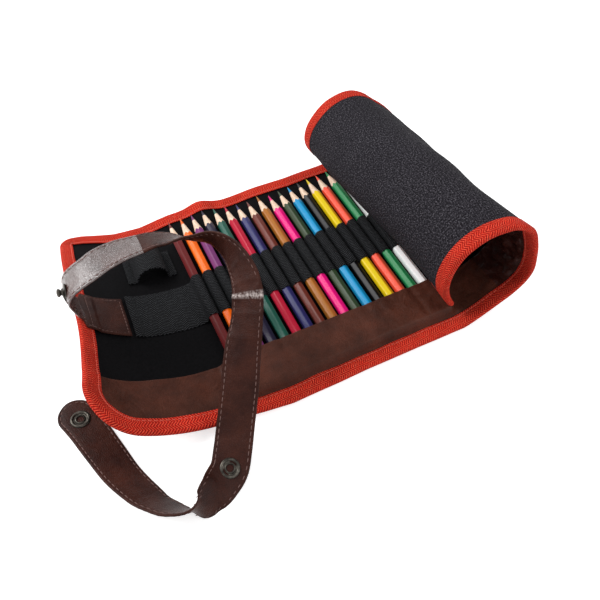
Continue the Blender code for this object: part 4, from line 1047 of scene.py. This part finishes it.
def strap_line():
    """Dense middle line of the strap, with its directions across, and the distance along it."""
    level = PATCH_LEVEL + STRAP_THICK_PATCH / 2
    beyond, fold, beside = (lay_one(u, v, level) for u, v in (
        (FOLD_U + 8 * MM, PATCH_V), (FOLD_U, PATCH_V), (FOLD_U, PATCH_V + STRAP_WIDTH / 2)))
    first = tuple((beside - fold).normalized())
    rows = [(*beyond, *first), (*fold, *first)]
    rows += [(*(Vector(row[:3]) * MM), *Vector(row[3:]).normalized()) for row in STRAP_ROUTE]
    samples = 24
    both = catmull(rows, samples)[samples:]
    return both, lengths(both[:, :3])


STRAP, STRAP_LENGTH = strap_line()
STRAP_TOTAL = STRAP_LENGTH[-1]


def strap_frame(at):
    """Places, directions along and across, and normals at distances along the strap."""
    at = np.atleast_1d(np.asarray(at, float))

    def row(at, first):
        return np.stack([np.interp(at, STRAP_LENGTH, STRAP[:, first + k]) for k in range(3)], 1)
    step = 1.5 * MM
    along = unit(row(at + step, 0) - row(at - step, 0))
    side = square_to(row(at, 3), along)
    return row(at, 0), along, side, np.cross(along, side)


# Creases of the strap: distance along it, width and depth in millimetres
STRAP_FOLDS = ((128.0, 1.3, 0.3), (137.0, 1.6, 0.25), (146.0, 1.2, 0.28), (155.0, 1.5, 0.35),
               (177.0, 1.6, 0.75), (169.0, 1.6, 0.35), (189.0, 1.4, 0.4), (204.0, 2.0, 0.25),
               (60.0, 2.2, 0.3), (301.0, 1.8, 0.3), (352.0, 1.5, 0.25))


def strap_creases(at, off):
    """Height of the creases across the strap: sharp where it bends, faint elsewhere."""
    out = np.zeros_like(at)
    for where, wide, deep in STRAP_FOLDS:
        skew = off * 0.25 * math.sin(where)
        wander = rough(off, off * 0 + where * MM, 8 * MM, where) * 1.2 * MM
        out -= dent(at - where * MM - skew - wander, wide * MM) * deep * MM
    return out


def strap_stitches(start, stop, sign, edge, round_tip):
    """One row of stitches on a face (sign) along an edge, with those round the tip."""
    inner = STRAP_WIDTH / 2 - STRAP_SEAM
    surface = sign * (STRAP_THICK / 2 - 0.02 * MM)
    where = np.arange(start + 1.4 * MM, stop, STRAP_STITCH)
    place, along, side, normal = strap_frame(where)
    centre = place + side * edge * inner + normal * surface
    if round_tip and edge > 0:
        for angle in np.arange(0.12, 2.9, STRAP_STITCH / inner):
            sine, cosine = math.sin(angle), math.cos(angle)
            p, t, s, n = (q[0] for q in strap_frame(stop + inner * sine))
            centre = np.vstack([centre, p + s * inner * cosine + n * surface])
            along = np.vstack([along, t * cosine - s * sine])
            normal = np.vstack([normal, n])
            where = np.append(where, stop)
    flat = np.stack([where, np.full_like(where, edge * STRAP_WIDTH / 2)], -1)
    return stitch_arrays(centre, along, normal * sign, 2.9 * MM, 0.3 * MM, flat)


def strap_piece(name, start, end, bodies, blend_at, nodes, leather=STRAP_LEATHER,
                round_tip=False):
    """Stretch of the strap, which rides its body, or stays where it lies when blend_at is given."""
    half = STRAP_WIDTH / 2
    stop = end - half if round_tip else end
    at = steps(start, stop, 1.3 * MM)
    reach = np.full(len(at), half)
    if round_tip:
        angles = np.radians([12, 24, 36, 48, 58, 67, 75, 82, 87])
        at = np.concatenate([at, stop + half * np.sin(angles)])
        reach = np.concatenate([reach, half * np.cos(angles)])
    shares = mirrored([-1, -0.985, -0.95, -0.9, -0.855, -0.82, -0.785, -0.72, -0.55, -0.36,
                       -0.18, 0.0])
    place, _, side, normal = strap_frame(at)
    off = reach[:, None] * shares[None, :]
    a = np.repeat(at[:, None], len(shares), 1)
    gap = half * (1 - np.abs(shares))[None, :] * (reach / half)[:, None]
    groove = dent(gap - STRAP_SEAM, 0.55 * MM) * 0.22 * MM
    pucker = np.cos(TAU * a / STRAP_STITCH) * dent(gap - 1.0 * MM, 1.3 * MM) * 0.07 * MM
    crown = 0.12 * MM * np.sin(np.clip(gap / (8 * MM), 0, 1) * math.pi / 2)
    profile = STRAP_THICK / 2 * rim(gap, 0.9 * MM, 0.03) - groove + pucker + crown
    crease = strap_creases(a, off) * np.clip(gap / (2 * MM), 0.25, 1)
    wobble = rough(at, at * 0, 28 * MM, 61.0)[:, None] * 0.25 * MM
    outer, inner = (place[:, None, :] + side[:, None, :] * (off + wobble)[..., None]
                    + normal[:, None, :] * (profile * sign + crease)[..., None]
                    for sign in (1, -1))
    stitches = [strap_stitches(start, stop, sign, edge, round_tip)
                for sign in (1, -1) for edge in (-1, 1)]
    obj = sheet_object(name, outer, inner, np.stack([a, off], -1), leather, sharp=55.0,
                       extra=stitches)
    obj.data.materials.append(LEATHER_THREAD)
    if blend_at is None:
        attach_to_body(obj, *bodies)
    else:
        first, last = (tuple(strap_frame(x * MM)[0][0]) for x in blend_at)
        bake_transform(obj)
    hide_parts(*nodes)


def make_strap():
    arch, fall, tail = "strap_arch_body", "strap_fall_body", "strap_tail_body"
    # The arch's first 80 mm take the lighter copy of the leather: painted light.
    strap_piece("strap_arch_skin", 0.3 * MM, 80 * MM, ("wrap", arch), (0.5, 11),
                ["strap_arch"], LIT_ARCH_LEATHER)
    strap_piece("strap_arch_top_skin", 80 * MM, 112 * MM, (arch,), None, ["strap_arch"])
    strap_piece("strap_shoulder_skin", 112 * MM, 200 * MM, (arch, fall), (114, 136),
                ["strap_arch", "strap_fall"])
    strap_piece("strap_drop_skin", 200 * MM, 325 * MM, (fall, tail), (295.5, 309),
                ["strap_fall", "strap_tail"])
    strap_piece("strap_tail_skin", 325 * MM, STRAP_TOTAL, (tail,), None, ["strap_tail"],
                round_tip=True)


def make_patch():
    """Sewn end of the strap inside the wrap, from the fold at the edge to its hem."""
    start, end = FOLD_U - 0.4 * MM, 39 * MM
    half_thick = STRAP_THICK_PATCH / 2
    us = np.concatenate([steps(start, 13 * MM, 1.0 * MM), steps(13 * MM, end, 1.2 * MM)[1:]])
    shares = mirrored([-1, -0.98, -0.95, -0.9, -0.86, -0.82, -0.76, -0.6, -0.4, -0.2, 0.0])
    half = (12 + 6.5 * smooth(us, 2.5 * MM, 5.5 * MM)) * MM
    off = half[:, None] * shares[None, :]
    u = np.repeat(us[:, None], len(shares), 1)
    v = PATCH_V + off
    base = PATCH_LEVEL - smooth(us, 12.5 * MM, 17 * MM) * 1.2 * MM
    gap = np.minimum(half[:, None] * (1 - np.abs(shares))[None, :], (end - us)[:, None])
    rounded = rim(gap, 0.9 * MM, 0.05)
    cross_seams = (9 * MM, end - 2.2 * MM)
    groove = dent(gap - 2.0 * MM, 0.55 * MM) * 0.2 * MM
    groove += dent(u - cross_seams[0], 0.6 * MM) * 0.25 * MM
    middle = base[:, None] + half_thick + rough(u, v, 12 * MM, 71.0) * 0.2 * MM
    outer = lay_grid(u, v, middle + half_thick * rounded - groove)
    inner = lay_grid(u, v, middle - half_thick * rounded)

    def seam(uu, vv, du, dv):
        frame_at = lay_rows(uu, vv, np.interp(uu, us, base) + 1.5 * MM, du, dv, 0.4 * MM)
        return stitch_arrays(*frame_at, 2.4 * MM, 0.28 * MM, np.stack([uu, vv], -1))
    pitch = 3.3 * MM
    at = np.arange(4 * MM, end - 3 * MM, pitch)
    inside = np.interp(at, us, half) - 2.0 * MM
    stitches = [seam(at, PATCH_V + edge * inside, 1.0, 0.0) for edge in (-1, 1)]
    for place in cross_seams:
        wide = np.interp(place, us, half)
        at = np.arange(PATCH_V - wide + 3 * MM, PATCH_V + wide - 2 * MM, pitch)
        stitches.append(seam(np.full_like(at, place), at, 0.0, 1.0))
    obj = sheet_object("strap_patch_skin", outer, inner, np.stack([u, off], -1), STRAP_LEATHER,
                       sharp=55.0, extra=stitches)
    obj.data.materials.append(LEATHER_THREAD)
    attach(obj, 0, "strap_anchor_patch", "brown_leather")


# Pencils

def pencil_object(number, name, colour):
    """Hexagonal pencil whose paint ends in scallops where the sharpened cone begins."""
    count = 36
    angles = np.arange(count) * TAU / count
    half = PENCIL_FLATS / 2
    widest = half * 1.105
    reach = np.minimum(half / np.cos((angles % (TAU / 6)) - TAU / 12), widest)
    length = TIP_Y[number] * MM - BUTT_Y
    lead, blunt, cone, chamfer = 1.55 * MM, 0.32 * MM, 21.0 * MM, 0.35 * MM
    slope = (widest - blunt) / cone
    edge_y = length - (reach - blunt) / slope
    lead_y = length - (lead - blunt) / slope

    def cone_ring(start, end, share, sunk, slot):
        y = start + (end - start) * share
        return y, blunt + (length - y) * slope - sunk, slot
    # Each ring: height, radius and the slot of the band that ends at it
    paint_slot, wood_slot, lead_slot = range(3)
    rings = [(0.0, 0.9 * MM, None), (0.0, reach * 0.9, wood_slot), (chamfer, reach, paint_slot)]
    rings += [(chamfer + (edge_y - chamfer) * share, reach, paint_slot)
              for share in (*np.linspace(0.05, 0.95, 10), 1.0)]
    rings.append((edge_y + 0.25 * MM, reach - 0.25 * MM * slope - 0.12 * MM, wood_slot))
    rings += [cone_ring(edge_y, lead_y, share, 0.1 * MM, wood_slot) for share in (0.35, 0.7, 1.0)]
    rings += [cone_ring(lead_y, length, share, 0.12 * MM, lead_slot) for share in (0.04, 0.5, 1.0)]
    rings.append((length + 0.12 * MM, 0.08 * MM, lead_slot))
    verts, flat = [], []
    for y, r, _ in rings:
        y, r = (np.broadcast_to(a, (count,)) for a in (y, r))
        verts.append(np.stack([r * np.sin(angles), y, r * np.cos(angles)], 1))
        flat.append(np.stack([angles * half, y], 1))
    ends = cap_faces(0, count) + cap_faces(len(rings) - 1, count)
    slots = np.append(np.repeat([slot for *_, slot in rings[1:]], count),
                      [lead_slot] * len(ends))
    # Each pencil is turned and shifted a little, as if put in by hand
    spin = math.radians(((number * 37) % 23) - 11)
    pushed = ((number * 13) % 7 - 3) * 0.07 * MM
    move = (Matrix.Translation((FIRST_X + number * PITCH + pushed, BUTT_Y, PENCIL_Z))
            @ Matrix.Rotation(spin, 4, "Y"))
    points = np.vstack(verts) @ np.array(move.to_3x3()).T + np.array(move.translation)
    paint = paint_material(name, colour)
    core = lead_material(name, scaled_colour(colour, 0.95))
    node = f"pencil_{number + 1:02d}_{name}"
    obj = finished(f"{node}_painted", points, np.array(ring_faces(len(rings), count) + ends),
                   np.vstack(flat), [paint, WOOD, core], sharp=24.0, slots=slots)
    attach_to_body(obj, f"{node}_body")
    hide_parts(node)


def make_pencils():
    colours = (("maroon", (100, 27, 28)), ("orange", (255, 108, 6)), ("purple", (118, 50, 108)),
               ("violet", (38, 32, 54)), ("bottle_green", (28, 86, 72)), ("crimson", (186, 20, 52)),
               ("navy", (44, 44, 98)), ("brown", (108, 48, 38)), ("ochre", (170, 104, 38)),
               ("pink", (240, 20, 128)), ("olive", (54, 70, 46)), ("sky_blue", (24, 148, 202)),
               ("black", (14, 14, 17)), ("yellow", (238, 206, 22)), ("coral", (250, 88, 62)),
               ("green", (34, 136, 78)), ("white", (250, 250, 250)))
    for number, (name, colour) in enumerate(colours):
        pencil_object(number, name, srgb(*colour))


# Snap fasteners

def lathe(name, profile, place, along, side, up, shade_below):
    """Turned part: profile is radius and height in millimetres, from the rim's foot to the axis.

    Within the radius given last, also in millimetres, its faces are near-black: painted shade where
    the part dips.
    """
    count = 40
    profile = np.array(profile) * MM
    angles = np.arange(count) * TAU / count
    verts = [place + (along * math.cos(a) + side * math.sin(a)) * r + up * h
             for r, h in profile for a in angles]
    faces = ring_faces(len(profile), count)
    # Faces within that radius get the near-black painted shade.
    slots = np.repeat(profile[1:, 0] < shade_below * MM, count).astype(int)
    for ring, slot in ((0, 0), (len(profile) - 1, 1 if shade_below else 0)):
        ends = cap_faces(ring, count)
        faces += ends
        slots = np.append(slots, [slot] * len(ends))
    return finished(name, np.array(verts), np.array(faces), np.repeat(profile, count, 0),
                    [METAL, PAINTED_SHADE], sharp=40.0, slots=slots)


# Profiles of the snaps: radius and height in millimetres
SOCKET = ((6.0, -0.3), (6.35, 0.0), (6.4, 0.5), (6.1, 1.0), (5.5, 1.3), (4.8, 1.2), (4.4, 0.8),
          (4.2, 0.35), (3.6, 0.3), (3.4, 0.7), (3.05, 1.05), (2.65, 1.1), (2.35, 0.8), (2.2, 0.1),
          (0.6, 0.05))
CAP = ((6.3, -0.3), (6.6, 0.0), (6.6, 0.4), (6.2, 0.8), (5.2, 1.1), (3.6, 1.25), (1.8, 1.3),
       (0.4, 1.32))
STUD = ((5.4, -0.3), (5.7, 0.0), (5.6, 0.35), (4.8, 0.6), (2.2, 0.7), (1.8, 1.0), (1.75, 2.4),
        (2.3, 2.8), (2.75, 3.4), (2.7, 4.1), (2.2, 4.6), (1.2, 4.85), (0.3, 4.9))


def make_snaps():
    """The snaps' metal, on the strap beside the solids that it stands for."""
    # Radius in millimetres inside which a socket is painted near-black as shade.
    painted_shade_hollow, stud_shift = 2.3, 4 * MM
    parts = (("snap_stud", STUD, 0.0, "arch"), ("snap_stud_back", CAP, 0.0, "arch"),
             ("snap_fall_socket", SOCKET, painted_shade_hollow, "fall"), ("snap_fall_cap", CAP, 0.0, "fall"),
             ("snap_tip_socket", SOCKET, painted_shade_hollow, "tail"), ("snap_tip_cap", CAP, 0.0, "tail"))
    for node, profile, shade_below, body in parts:
        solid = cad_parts[node]
        centre = np.mean([tuple(solid.matrix_world @ Vector(c)) for c in solid.bound_box], 0)
        at = STRAP_LENGTH[np.argmin(np.linalg.norm(STRAP[:, :3] - centre, axis=1))]
        if profile is STUD:
            at += stud_shift
        place, along, side, normal = (a[0] for a in strap_frame(at))
        up = normal * (1 if np.dot(centre - place, normal) > 0 else -1)
        obj = lathe(f"{node}_metal", profile, place + up * STRAP_THICK / 2, along, side, up,
                    shade_below)
        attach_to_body(obj, f"strap_{body}_body")
        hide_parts(node)


# Floor, light and camera

def make_lamp(name, place, aim, size, energy):
    data = bpy.data.lights.new(name, "AREA")
    data.shape = "RECTANGLE"
    data.size, data.size_y = size
    data.energy = energy
    obj = new_object(name, data)
    obj.location = place
    obj.rotation_euler = (Vector(aim) - Vector(place)).to_track_quat("-Z", "Y").to_euler()


def make_floor():
    """Pale floor that looks white to the camera and in gloss, and still takes the shadow."""
    size, depth, glow_strength = 4.0, 0.2 * MM, 0.62
    mesh = bpy.data.meshes.new("floor")
    bm = bmesh.new()
    bmesh.ops.create_grid(bm, x_segments=4, y_segments=4, size=size)
    bm.to_mesh(mesh)
    bm.free()
    floor = new_object("floor", mesh)
    floor.location.z = -depth
    material, tree, shader = new_tree("floor_pale")
    output = next(n for n in tree.nodes if n.type == "OUTPUT_MATERIAL")
    pale = ramp(noise_tex(object_place(tree), 3.0), (0.0, (0.8, 0.8, 0.8)),
                (1.0, (0.82, 0.82, 0.82)))
    set_shader(shader, Roughness=0.9, Base_Color=pale)
    glow = add(tree, "Emission", {"Color": (1, 1, 1, 1), "Strength": glow_strength})
    both = add(tree, "AddShader", {0: shader.outputs[0], 1: glow.outputs[0]})
    rays = add(tree, "LightPath").outputs
    seen = maths("MAXIMUM", rays["Is Camera Ray"], rays["Is Glossy Ray"])
    mixed = add(tree, "MixShader", {0: seen, 1: shader.outputs[0], 2: both.outputs[0]})
    feed(output.inputs["Surface"], mixed.outputs[0])
    mesh.materials.append(material)


def make_studio():
    scene = bpy.context.scene
    scene.view_settings.view_transform = "Standard"
    make_floor()
    world = bpy.data.worlds.new("studio")
    world.use_nodes = True
    scene.world = world
    tree = world.node_tree
    background = tree.nodes["Background"].inputs
    rays = add(tree, "LightPath").outputs
    seen = maths("MAXIMUM", rays["Is Camera Ray"],
                 maths("MAXIMUM", rays["Is Glossy Ray"], rays["Is Transmission Ray"]))
    feed(background["Color"], (1, 1, 1, 1))
    # White where it is seen, and half as strong as a light
    feed(background["Strength"], maths("MULTIPLY_ADD", seen, 0.5, 0.5))
    make_lamp("key", (-0.72, 0.57, 0.84), (-0.05, 0, 0.03), (0.8, 0.6), 13.5)
    make_lamp("fill", (0.7, -0.7, 0.9), (0, 0, 0.02), (0.9, 0.9), 5.0)


def make_camera():
    """The photograph's camera: its angles, the point that it looks at and its distance."""
    azimuth, elevation, roll = (math.radians(a) for a in (-26.22, 52.969, 0.520))
    target, distance_mm = Vector((-11.961, -26.591, 0.0)) * MM, 452.73
    back = Vector((math.sin(azimuth) * math.cos(elevation),
                   -math.cos(azimuth) * math.cos(elevation), math.sin(elevation)))
    right = Vector((0, 0, 1)).cross(back).normalized()
    up = back.cross(right)
    right, up = (right * math.cos(roll) + up * math.sin(roll),
                 up * math.cos(roll) - right * math.sin(roll))
    data = bpy.data.cameras.new("photo_camera")
    data.lens = data.sensor_width = 36.0
    data.clip_start = 0.01
    obj = new_object("photo_camera", data)
    place = target + back * distance_mm * MM
    obj.matrix_world = Matrix((*zip(right, up, back, place), (0, 0, 0, 1)))
    bpy.context.scene.camera = obj


make_camera()
make_studio()
make_cloth("canvas", "canvas_mat", "roll_canvas", "outer_canvas", 1.6 * MM, 0.25 * MM,
           CANVAS_TOP, CANVAS, roll_lift)
make_cloth("lining_cloth", "lining", "roll_lining", "black_lining", 1.7 * MM,
           CANVAS_TOP + 0.1 * MM, LINING_TOP, LINING, lining_lift)
make_tape()
make_pocket()
make_elastic()
make_sharpener_loop()
make_strap()
make_patch()
make_pencils()
make_snaps()
